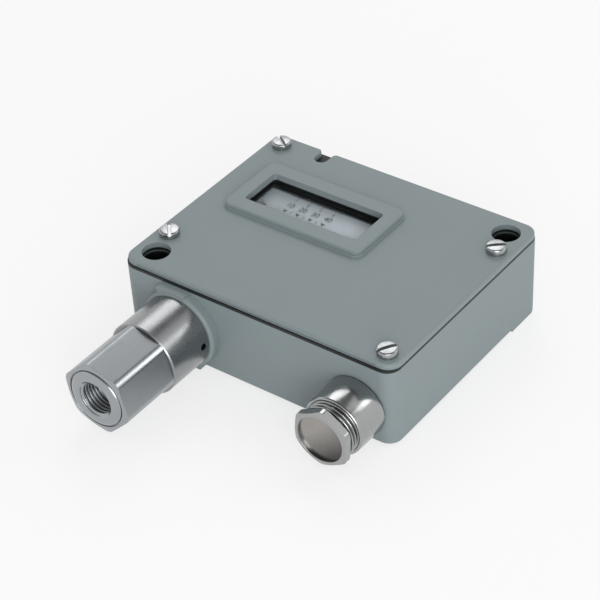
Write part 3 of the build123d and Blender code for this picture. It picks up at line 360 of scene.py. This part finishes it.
def clear_pane(name):
    """Clear pane with faint clouding that lets light through to the scale below it."""
    material, g, shader = new_material(
        name, (0.97, 0.98, 0.98, 1), 0.0, Transmission_Weight=1.0, IOR=1.45, Specular_IOR_Level=0.1
    )
    smudge = use(g, mottle, Color=(0.96, 0.97, 0.97, 1), Cloud=0.05, Speck=0.02, Cloud_Scale=160.0)
    g.feed(shader["Base Color"], smudge["Color"])
    principled = material.node_tree.nodes["Principled BSDF"]
    through = g.add("ShaderNodeBsdfTransparent")
    choose = g.add("ShaderNodeMixShader")
    path = g.add("ShaderNodeLightPath").outputs
    seen = g.math("MULTIPLY", path["Is Camera Ray"], 0.85)
    g.feed(choose.inputs[0], g.math("MAXIMUM", path["Is Shadow Ray"], seen))
    g.feed(choose.inputs[1], principled.outputs[0])
    g.feed(choose.inputs[2], through.outputs[0])
    g.feed(material.node_tree.nodes["Material Output"].inputs[0], choose.outputs[0])
    return material


def printed_plate(name):
    """Silvery scale plate, whiter towards its right end."""
    left, right = linear(184, 196, 202), linear(214, 226, 234)
    material, g, shader = new_material(name, right, 0.45, Specular_IOR_Level=0.3)
    tone = g.mix(g.ramp(g.axes()[0], -35.0 * MM, 6.0 * MM), left, right)
    spots = use(g, mottle, Color=tone, Cloud=0.05, Speck=0.04, Cloud_Scale=120.0, Speck_Scale=3000.0)
    g.feed(shader["Base Color"], spots["Color"])
    g.feed(shader["Roughness"], g.ramp(spots["Clouds"], 0.3, 0.7, 0.42, 0.52))
    g.feed(shader["Normal"], g.bump(spots["Specks"], 0.08, 0.0001))
    return material


paint = painted("housing_paint", linear(130, 141, 143))
sleeve_steel = machined("turned_steel", linear(149, 151, 152), 0.28, turning, 3500.0, 0.22, 0.04, 0.07)
port_steel = machined("bar_steel", linear(160, 164, 167), 0.38, drawing, 2500.0, 0.12, 0.08, 0.03, 13.22)
plated = machined("zinc_plate", linear(165, 167, 168), 0.28, drawing, 1800.0, 0.2)
nickel = machined("nickel_plate", linear(164, 165, 165), 0.2, turning, 2500.0, 0.08, 0.05, 0.05)
# Blanking disc: plated nickel with a painted dark reflection towards its lower right
nickel_painted_reflection = reflection_painted("nickel_painted_reflection", linear(158, 155, 151), linear(64, 64, 63), 0.24)
brass = machined("brass_clean", linear(206, 176, 112), 0.28, turning, 3000.0, 0.3)
rubber = moulded("black_rubber", linear(15, 19, 19), 0.55)
phenolic = moulded("dark_moulding", linear(38, 33, 32), 0.45)
cream = moulded("cream_moulding", linear(206, 203, 190), 0.5)
sheath_black = moulded("black_insulation", linear(30, 30, 32), 0.4)
sheath_blue = moulded("blue_insulation", linear(40, 70, 150), 0.4)
sheath_red = moulded("red_insulation", linear(160, 34, 30), 0.4)
pointer_paint = moulded("pointer_paint", linear(118, 122, 124), 0.45)
print_ink = moulded("print_ink", linear(34, 36, 40), 0.6)
scale_face = printed_plate("scale_face")
pane_clear = clear_pane("clear_pane")

finish = {
    "housing": paint,
    "cover": paint,
    "cover_gasket": rubber,
    "cover_screws": plated,
    "window_seal": rubber,
    "window_pane": pane_clear,
    "sensor_sleeve": sleeve_steel,
    "sleeve_seal": rubber,
    "port_body": port_steel,
    "piston": sleeve_steel,
    "piston_seal": rubber,
    "seal_backup_ring": cream,
    "push_rod": sleeve_steel,
    "gland_body": nickel,
    "gland_gasket": rubber,
    "gland_thrust_screw": nickel,
    "gland_blanking_disc": nickel_painted_reflection,
    "gland_seal_ring": rubber,
    "gland_washer": plated,
    "chassis": plated,
    "chassis_screws": plated,
    "scale_plate": scale_face,
    "scale_screws": plated,
    "adjusting_spindle": sleeve_steel,
    "range_nut": brass,
    "set_pointer": pointer_paint,
    "range_spring": port_steel,
    "spring_seat": sleeve_steel,
    "transfer_lever": plated,
    "lever_pin": sleeve_steel,
    "lever_clip": port_steel,
    "microswitch_body": phenolic,
    "microswitch_plunger": cream,
    "microswitch_terminals": brass,
    "microswitch_screws": plated,
    "terminal_block": cream,
    "terminal_clamps": brass,
    "terminal_screws": plated,
    "terminal_block_screws": plated,
    "earth_clamp": plated,
    "earth_screw": plated,
    "wire_common": sheath_black,
    "wire_normally_open": sheath_blue,
    "wire_normally_closed": sheath_red,
}
for name, material in finish.items():
    nodes[name].data.materials.clear()
    nodes[name].data.materials.append(material)


# Surfaces worked out as whole arrays
SHARP_ANGLE = radians(30)


def solid(name, grids, material):
    """Closed piece from grids of points (rows, columns, 3): columns run round, and rows end at poles.

    Equal points are merged, and the faces are turned outwards where the signed volume is negative.
    """
    points, faces, start = [], [], 0
    for grid in grids:
        rows, columns, _ = grid.shape
        index = np.arange(rows * columns).reshape(rows, columns) + start
        index = np.hstack([index, index[:, :1]])
        quads = np.stack([index[:-1, :-1], index[:-1, 1:], index[1:, 1:], index[1:, :-1]], axis=-1)
        quads = quads.reshape(-1, 4)
        flat = grid.reshape(-1, 3)
        a, b, c, d = (flat[quads[:, k] - start] for k in range(4))
        volume = np.sum(a * np.cross(b, c)) + np.sum(a * np.cross(c, d))
        if volume < 0:
            quads = quads[:, ::-1]
        points.append(flat * MM)
        faces.append(quads)
        start += rows * columns
    mesh = bpy.data.meshes.new(name)
    mesh.from_pydata(np.vstack(points).tolist(), [], np.vstack(faces).tolist())
    work = bmesh.new()
    work.from_mesh(mesh)
    bmesh.ops.remove_doubles(work, verts=work.verts, dist=2e-6)
    bmesh.ops.dissolve_degenerate(work, edges=work.edges, dist=1e-7)
    work.to_mesh(mesh)
    work.free()
    mesh.shade_smooth()
    mesh.set_sharp_from_angle(angle=SHARP_ANGLE)
    mesh.materials.append(material)
    piece = bpy.data.objects.new(name, mesh)
    bpy.context.scene.collection.objects.link(piece)
    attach(piece, "frame")
    return piece


def rounded(corners, steps):
    """Profile through (a, b, radius) corners, each corner replaced by an arc of its radius."""
    places = np.array([corner[:2] for corner in corners], float)
    out = [places[:1]]
    for i in range(1, len(corners) - 1):
        radius = corners[i][2]
        here = places[i]
        back, ahead = places[i - 1] - here, places[i + 1] - here
        back, ahead = back / np.linalg.norm(back), ahead / np.linalg.norm(ahead)
        if radius == 0:
            out.append(here[None])
            continue
        half = np.arccos(np.clip(back @ ahead, -1, 1)) / 2
        middle = here + (back + ahead) / np.linalg.norm(back + ahead) * radius / np.sin(half)
        first = here + back * radius / np.tan(half) - middle
        last = here + ahead * radius / np.tan(half) - middle
        turn = np.linspace(0, 1, steps + 1)[:, None]
        sweep = np.pi - 2 * half
        arc = (np.sin((1 - turn) * sweep) * first + np.sin(turn * sweep) * last) / np.sin(sweep)
        out.append(middle + arc)
    out.append(places[-1:])
    return np.vstack(out)


def about_y(centre, along, radius, angle):
    """Points at a distance from the front wall, a radius and an angle round an axis along Y."""
    along, radius, angle = np.broadcast_arrays(along, radius, angle)
    x, z = centre[0] + radius * np.cos(angle), centre[1] + radius * np.sin(angle)
    return np.stack([x, FRONT_Y + along, z], axis=-1)


def turned_rows(profile, angle):
    """Rows of (distance, radius) for a round stretch: the same pair at every angle."""
    return [(np.full_like(angle, y), np.full_like(angle, r)) for y, r in profile]


def hexagon_radius(angle, across_flats, turned, tilt, softness=0.09):
    """Radius of a turned hexagon bar: the smaller of face and corner radius, blended smoothly.

    A face's radius is half its distance across flats over the cosine of the angle from its middle.
    """
    phase = (angle - radians(tilt)) % (np.pi / 3) - np.pi / 6
    flat = across_flats / 2 / np.cos(phase)
    return -softness * np.log(np.exp(-flat / softness) + np.exp(-turned / softness))


def hexagon_angles(tilt, edge):
    """Angles for a hexagon: coarse on its faces, fine where a face meets the turned corner."""
    coarse = np.linspace(0, edge - 3, 9)
    fine = np.linspace(edge - 2.4, edge + 2.4, 9)
    corner = np.linspace(edge + 3, 30, 3)
    face = np.concatenate([coarse, fine, corner])
    half = np.unique(np.concatenate([-face, face]))[1:]
    return np.radians(np.concatenate([half + 60 * k for k in range(6)]) + 30 + tilt)


def hexagon_rows(front, back, radius, root, rear_root, slope, steps):
    """Rows of a hexagon with a chamfer cone at both ends, which meets each face in an arc.

    Each cone starts at its root radius and widens by the slope along the axis, until it meets the bar.
    """
    depth = (radius - root) / slope
    rear = np.clip(radius - rear_root, 0, None) / slope
    length = back - front - depth - rear
    rows = [(front + depth * t, root + depth * slope * t) for t in np.linspace(0, 1, 4)]
    rows += [(front + depth + length * t, radius) for t in np.linspace(0, 1, steps)[1:-1]]
    rows += [(back - rear * t, radius - rear * slope * (1 - t)) for t in np.linspace(1, 0, 4)]
    return rows


def thread_rows(start, end, pitch, inner, outer, angle, per_turn=16, sharpness=1.5):
    """Rows of a screw thread: the radius swings between inner and outer as the helix passes.

    The swing is a flattened cosine of the turns along the axis plus the angle round it.
    """
    y = np.arange(start, end + pitch / per_turn / 2, pitch / per_turn)
    phase = 2 * np.pi * (y[:, None] - start) / pitch + angle[None, :]
    wave = 0.5 + 0.5 * np.tanh(sharpness * np.cos(phase)) / np.tanh(sharpness)
    return y, inner + (outer - inner) * wave


def turned_solid(name, centre, rows, angle, material):
    """Closed turned piece: every row of (distance, radius) carried round the axis."""
    grid = np.stack([about_y(centre, y, r, angle) for y, r in rows])
    return solid(name, [grid], material)


# Port body: thread with its mouth, shouldered register with a ring groove, turned hexagon, spigot
HEX_BACK, HEX_FRONT, REGISTER_FACE = -22.08, -45.6, -46.4
HEX_FLATS, HEX_TURNED, HEX_TILT, HEX_EDGE = 24.0, 13.3, 44.5, 25.5
HEX_FACE_RADIUS, HEX_REAR_RADIUS, HEX_SLOPE = 11.4, 13.25, 3.5
REGISTER_RADIUS, SHOULDER_DEPTH, GROOVE_RADIUS, GROOVE_DEPTH = 8.2, 1.25, 10.5, 0.6
SLEEVE_END, SPIGOT_END, SPIGOT_RADIUS, NECK_RADIUS = -22.0, -11.3, 9.0, 11.0
THREAD_PITCH, THREAD_CREST, THREAD_ROOT, THREAD_END = 1.337, 5.74, 6.58, REGISTER_FACE + 12.2
THREAD_FADE, MOUTH_RADIUS, MOUTH_SLOPE = 1.5, 6.95, 1.15
BORE_END, BORE_RADIUS = REGISTER_FACE + 13.0, 2.0
port_angle = hexagon_angles(HEX_TILT, HEX_EDGE)
y, wall = thread_rows(REGISTER_FACE, THREAD_END, THREAD_PITCH, THREAD_CREST, THREAD_ROOT, port_angle)
mouth = MOUTH_RADIUS - (y[:, None] - REGISTER_FACE) * MOUTH_SLOPE
wall = np.maximum(wall, mouth)
fade = np.clip((y[:, None] - THREAD_END + THREAD_FADE) / THREAD_FADE, 0, 1)
wall = wall * (1 - fade) + THREAD_CREST * fade
bore = [
    (BORE_END + 6, 0),
    (BORE_END + 6, BORE_RADIUS),
    (BORE_END + 0.2, BORE_RADIUS),
    (BORE_END, 2.2),
    (BORE_END, 5.5),
    (BORE_END - 0.3, THREAD_CREST),
]
port_rows = turned_rows(bore, port_angle)
port_rows += [(np.full_like(port_angle, a), b) for a, b in zip(y[::-1], wall[::-1])]
swell = np.linspace(0, np.pi / 2, 13)
shoulder_y = REGISTER_FACE + SHOULDER_DEPTH * (1 - np.cos(swell))
shoulder_radius = REGISTER_RADIUS + (GROOVE_RADIUS - REGISTER_RADIUS) * np.sin(swell)
groove = [
    (HEX_FRONT + GROOVE_DEPTH, GROOVE_RADIUS, 0),
    (HEX_FRONT + GROOVE_DEPTH, GROOVE_RADIUS + 0.35, 0),
    (HEX_FRONT, GROOVE_RADIUS + 0.35, 0.14),
    (HEX_FRONT, HEX_FACE_RADIUS, 0),
]
port_rows += turned_rows(zip(shoulder_y, shoulder_radius), port_angle)
port_rows += turned_rows(rounded(groove, 6), port_angle)
hex_radius = hexagon_radius(port_angle, HEX_FLATS, HEX_TURNED, HEX_TILT)
hexagon = hexagon_rows(HEX_FRONT, HEX_BACK, hex_radius, HEX_FACE_RADIUS, HEX_REAR_RADIUS, HEX_SLOPE, 24)
port_rows += hexagon[1:]
spigot = [
    (SLEEVE_END, NECK_RADIUS),
    (SLEEVE_END, SPIGOT_RADIUS),
    (SPIGOT_END, SPIGOT_RADIUS),
    (SPIGOT_END, 0),
]
port_rows += turned_rows(spigot, port_angle)
port_piece = turned_solid("port_turned", PORT, port_rows, port_angle, port_steel)
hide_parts("port_body")

# Gland body: turned sleeve with a rounded front edge, as (distance, radius, corner radius)
GLAND_FRONT, GLAND_BORE, GLAND_SEAT_RADIUS, GLAND_SHANK = -13.1, 9.95, 8.0, 10.2
ring_angle = np.linspace(0, 2 * np.pi, 160, endpoint=False)
gland_outline = [
    (6.0, GLAND_SEAT_RADIUS, 0),
    (6.0, GLAND_SHANK, 0),
    (-0.5, GLAND_SHANK, 0),
    (-0.5, 11.2, 0.12),
    (GLAND_FRONT, 10.95, 0.75),
    (GLAND_FRONT, GLAND_BORE, 0.08),
    (-4.5, GLAND_BORE, 0),
    (-4.5, GLAND_SEAT_RADIUS, 0),
    (6.0, GLAND_SEAT_RADIUS, 0),
]
gland_rows = turned_rows(rounded(gland_outline, 6), ring_angle)
gland_piece = turned_solid("gland_turned", GLAND, gland_rows, ring_angle, nickel)
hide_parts("gland_body")

# Thrust screw: exposed thread turns, chamfered hexagon and the rim round the blanking disc
NUT_HEX_BACK, NUT_FRONT, NUT_END = -17.3, -20.3, -10.5
NUT_FLATS, NUT_TURNED, NUT_TILT, NUT_EDGE = 19.5, 10.9, 26.5, 26.6
NUT_FACE_RADIUS, NUT_REAR_RADIUS, NUT_SLOPE = 9.4, 10.4, 2.0
NUT_PITCH, NUT_ROOT, NUT_CREST, NUT_RUNOUT = 1.5, 8.7, 9.95, 0.7
DISC_SEAT, NUT_BORE, RIM_RADIUS = -18.7, 6.6, 8.55
nut_angle = hexagon_angles(NUT_TILT, NUT_EDGE)
nut_radius = hexagon_radius(nut_angle, NUT_FLATS, NUT_TURNED, NUT_TILT, 0.06)
nut_y, nut_thread = thread_rows(NUT_HEX_BACK, NUT_END, NUT_PITCH, NUT_ROOT, NUT_CREST, nut_angle, 16, 0.8)
runout = np.clip((nut_y[:, None] - NUT_HEX_BACK) / NUT_RUNOUT, 0, 1)
nut_thread = NUT_ROOT + (nut_thread - NUT_ROOT) * runout
rim = [
    (NUT_END, NUT_BORE, 0),
    (DISC_SEAT, NUT_BORE, 0),
    (DISC_SEAT, RIM_RADIUS, 0),
    (NUT_FRONT, RIM_RADIUS, 0.12),
    (NUT_FRONT, NUT_FACE_RADIUS, 0),
]
nut_rows = turned_rows(rounded(rim, 4), nut_angle)
nut_rows += hexagon_rows(
    NUT_FRONT, NUT_HEX_BACK, nut_radius, NUT_FACE_RADIUS, NUT_REAR_RADIUS, NUT_SLOPE, 8
)[1:]
nut_rows += [(np.full_like(nut_angle, a), b) for a, b in zip(nut_y, nut_thread)]
nut_rows += turned_rows([(NUT_END, 8.8), (NUT_END, NUT_BORE)], nut_angle)
nut_piece = turned_solid("thrust_screw", GLAND, nut_rows, nut_angle, nickel)
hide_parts("gland_thrust_screw")


# Cover screws: two domed half heads on a slot floor, and a plain shank
HEAD_RADIUS, HEAD_HEIGHT, HEAD_DOME, HEAD_EDGE = 3.55, 2.5, 0.25, 0.55
SLOT_HALF, SLOT_FLOOR, SLOT_LIP = 0.55, 1.35, 0.12
SHANK_RADIUS, SHANK_LENGTH, SHANK_LAP = 2.0, 12.0, 0.05


def quarter_drop(inside, radius):
    """Drop of a quarter round edge of a radius at a distance inside it."""
    return radius - np.sqrt(np.clip(radius**2 - np.clip(radius - inside, 0, radius) ** 2, 0, None))


def half_head(side):
    """Half of a slotted head over (along the slot, across it): slot floor, wall, domed top, rounded rim.

    Every column is a closed outline across the slot, at one place along it. The dome falls with the
    square of the distance from the middle, and a quarter round breaks it at the rim and at the slot.
    """
    along = HEAD_RADIUS * np.sin(np.linspace(-np.pi / 2, np.pi / 2, 41)[1:-1])
    width = np.clip(np.sqrt(HEAD_RADIUS**2 - along**2) - SLOT_HALF, 0.02, None)
    across = SLOT_HALF + width * np.linspace(0, 1, 15)[:, None]
    reach = np.sqrt(along**2 + across**2)
    dome = HEAD_DOME * (1 - (reach / HEAD_RADIUS) ** 2)
    fall = quarter_drop(HEAD_RADIUS - reach, HEAD_EDGE) + quarter_drop(across - SLOT_HALF, SLOT_LIP)
    top = HEAD_HEIGHT - HEAD_DOME + dome - fall
    low = np.zeros_like(along)
    rows = [(low, low), (low, low + SLOT_FLOOR), (low + SLOT_HALF, low + SLOT_FLOOR)]
    rows += list(zip(across, top))
    rows += [(across[-1], low), (low, low)]
    grid = np.stack([np.stack([along, side * a, z], axis=-1) for a, z in rows], axis=1)
    ends = [np.broadcast_to(grid[k].mean(axis=0), grid[k].shape)[None] for k in (0, -1)]
    return np.concatenate([ends[0], grid, ends[1]])


def placed(grid, x, y, angle):
    """Grid turned about Z by an angle in degrees and moved to a place on the cover."""
    c, s = cos(radians(angle)), sin(radians(angle))
    return grid @ np.array([[c, s, 0], [-s, c, 0], [0, 0, 1]]) + np.array([x, y, COVER_TOP])


def shank(x, y):
    """Round shank below a head: rows of (height, radius) carried round an axis along Z."""
    turn = np.linspace(0, 2 * np.pi, 24, endpoint=False)
    height = COVER_TOP + np.array([SHANK_LAP, SHANK_LAP, -SHANK_LENGTH, -SHANK_LENGTH])[:, None]
    radius = np.array([0, SHANK_RADIUS, SHANK_RADIUS, 0])[:, None]
    points = np.broadcast_arrays(x + radius * np.cos(turn), y + radius * np.sin(turn), height)
    return np.stack(points, axis=-1)


# Each screw's place and the direction of its slot in degrees
SCREWS = [(-49.2, 38.3, -35.0), (-49.2, -25.6, -50.0), (49.2, -38.3, 58.0), (49.2, 25.6, 40.0)]
head_grids = [placed(half_head(side), x, y, angle) for x, y, angle in SCREWS for side in (1, -1)]
head_grids += [shank(x, y) for x, y, _ in SCREWS]
screw_piece = solid("cover_screw_set", head_grids, plated)
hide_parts("cover_screws")


# Scale print, just proud of the plate
PRINT_Z = (PLATE_TOP + 0.03) * MM
FIRST_MARK, MARK_STEP, MARK_COUNT = -27.2, 5.33, 4
POINT_Y, BASE_Y, TICK_Y, RULE_Y = 9.3, 10.9, 17.9, 18.9
NUMBER_Y, NUMBER_SIZE, SMALL_Y, SMALL_SIZE = 13.6, 3.6, 16.8, 1.9
NUMERAL_SQUEEZE, NUMERAL_WEIGHT = 0.85, 0.06 * MM


def printed(name, mesh):
    """Make a printed mesh a piece that rides with the plate."""
    mesh.materials.clear()
    mesh.materials.append(print_ink)
    piece = bpy.data.objects.new(name, mesh)
    bpy.context.scene.collection.objects.link(piece)
    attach(piece, "frame")


def flat_print(name, shapes):
    """Thin printed patches, each a convex outline in (x, y)."""
    points, faces = [], []
    for outline in shapes:
        first = len(points)
        points += [(x * MM, y * MM, PRINT_Z) for x, y in outline]
        faces.append(list(range(first, first + len(outline))))
    mesh = bpy.data.meshes.new(name)
    mesh.from_pydata(points, [], faces)
    printed(name, mesh)


def stroke(x, half_width, low, high):
    """Upright rectangle centred on x."""
    return [(x - half_width, low), (x + half_width, low), (x + half_width, high), (x - half_width, high)]


def numeral(name, text, x, y, size):
    """Number printed on the plate, centred on (x, y)."""
    curve = bpy.data.curves.new(name, "FONT")
    curve.body = text
    curve.size = size * MM
    curve.align_x = "CENTER"
    curve.align_y = "CENTER"
    curve.offset = NUMERAL_WEIGHT
    holder = bpy.data.objects.new(name + "_text", curve)
    bpy.context.scene.collection.objects.link(holder)
    bpy.context.view_layer.update()
    mesh = bpy.data.meshes.new_from_object(holder.evaluated_get(bpy.context.evaluated_depsgraph_get()))
    bpy.data.objects.remove(holder)
    squeezed = Matrix.Diagonal((NUMERAL_SQUEEZE, 1, 1, 1))
    mesh.transform(Matrix.Translation((x * MM, y * MM, PRINT_Z)) @ squeezed)
    printed(name, mesh)


marks = [FIRST_MARK + MARK_STEP * k for k in range(MARK_COUNT)]
shapes = []
for x in marks:
    shapes.append([(x - 0.95, BASE_Y), (x, POINT_Y), (x + 0.95, BASE_Y)])
    shapes.append(stroke(x, 0.12, TICK_Y, RULE_Y))
    shapes.append(stroke(x - MARK_STEP / 2, 0.13, POINT_Y + 0.1, BASE_Y))
shapes.append(stroke(-19.5, 11.0, RULE_Y, RULE_Y + 0.18))
flat_print("scale_marks", shapes)
for k, x in enumerate(marks):
    numeral(f"scale_number_{k + 1}0", f"{k + 1}0", x, NUMBER_Y, NUMBER_SIZE)
    numeral(f"scale_small_{k + 1}", f"{k + 1}", x, SMALL_Y, SMALL_SIZE)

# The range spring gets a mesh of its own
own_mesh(nodes["range_spring"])

# Floor, light and world
bpy.ops.mesh.primitive_plane_add(size=6.0, location=(0, 0, 0))
floor = bpy.context.object
floor.name = "floor"
floor_material, g, shader = new_material("floor_pale", (0.93, 0.93, 0.93, 1), 0.9)
grain = use(g, mottle, Color=(0.93, 0.93, 0.93, 1), Cloud=0.004, Speck=0.004)
g.feed(shader["Base Color"], grain["Color"])
white = g.add("ShaderNodeEmission")
g.feed(white.inputs["Strength"], 1.0)
blend = g.add("ShaderNodeMixShader")
g.feed(blend.inputs[0], g.math("MULTIPLY", g.seen_ray(), 0.7))
g.feed(blend.inputs[1], floor_material.node_tree.nodes["Principled BSDF"].outputs[0])
g.feed(blend.inputs[2], white.outputs[0])
g.feed(floor_material.node_tree.nodes["Material Output"].inputs[0], blend.outputs[0])
floor.data.materials.append(floor_material)


def softbox(name, place, aim, size, power):
    """Square lamp at a place, turned towards a point, in metres and watts."""
    lamp = bpy.data.lights.new(name, "AREA")
    lamp.shape = "SQUARE"
    lamp.size = size
    lamp.energy = power
    piece = bpy.data.objects.new(name, lamp)
    piece.location = place
    piece.rotation_euler = (Vector(aim) - Vector(place)).to_track_quat("-Z", "Y").to_euler()
    bpy.context.scene.collection.objects.link(piece)


softbox("rear_left", (-0.55, 0.73, 0.91), (-0.03, -0.07, 0.02), 0.6, 2.7)
softbox("rear_right", (0.5, 0.74, 0.9), (0, -0.07, 0.02), 0.55, 0.6)
softbox("edge_light", (0.776, 0.728, 0.65), (-0.03, -0.078, 0.028), 0.3, 0.75)
softbox("key", (0.85, -0.9, 0.47), (0, 0, 0.015), 0.75, 8.4)

world = bpy.data.worlds.new("studio")
bpy.context.scene.world = world
world.use_nodes = True
g = Graph(world.node_tree)
seen = g.seen_ray()
split = g.add("ShaderNodeSeparateXYZ")
g.feed(split.inputs[0], g.add("ShaderNodeTexCoord").outputs["Generated"])
overhead = g.ramp(split.outputs["Z"], 0.35, 0.75, 1.0, 0.22)
level = g.math("ADD", g.math("MULTIPLY", seen, overhead), g.ramp(seen, 0.0, 1.0, 0.6, 0.0))
background = world.node_tree.nodes["Background"]
g.feed(background.inputs["Color"], (1, 1, 1, 1))
g.feed(background.inputs["Strength"], level)

# Camera fitted to the box's edges in the photograph
AZIMUTH, ELEVATION, ROLL = radians(38.471), radians(37.722), radians(-3.600)
DISTANCE, FOCAL_PIXELS, FRAME_PIXELS = 679.44, 2077.84, 600
TARGET = Vector((7.54, -28.18, 30.5))
back = Vector((sin(AZIMUTH) * cos(ELEVATION), -cos(AZIMUTH) * cos(ELEVATION), sin(ELEVATION)))
right = Vector((cos(AZIMUTH), sin(AZIMUTH), 0))
up = back.cross(right)
lens = bpy.data.cameras.new("camera")
lens.sensor_width = 36.0
lens.lens = FOCAL_PIXELS / FRAME_PIXELS * lens.sensor_width
lens.clip_start = 0.05
camera = bpy.data.objects.new("camera", lens)
side = cos(ROLL) * right + sin(ROLL) * up
top = cos(ROLL) * up - sin(ROLL) * right
camera.matrix_world = Matrix.Translation((TARGET + back * DISTANCE) * MM) @ Matrix(
    (side, top, back)
).transposed().to_4x4()
bpy.context.scene.collection.objects.link(camera)
bpy.context.scene.camera = camera
bpy.context.scene.view_settings.view_transform = "Standard"
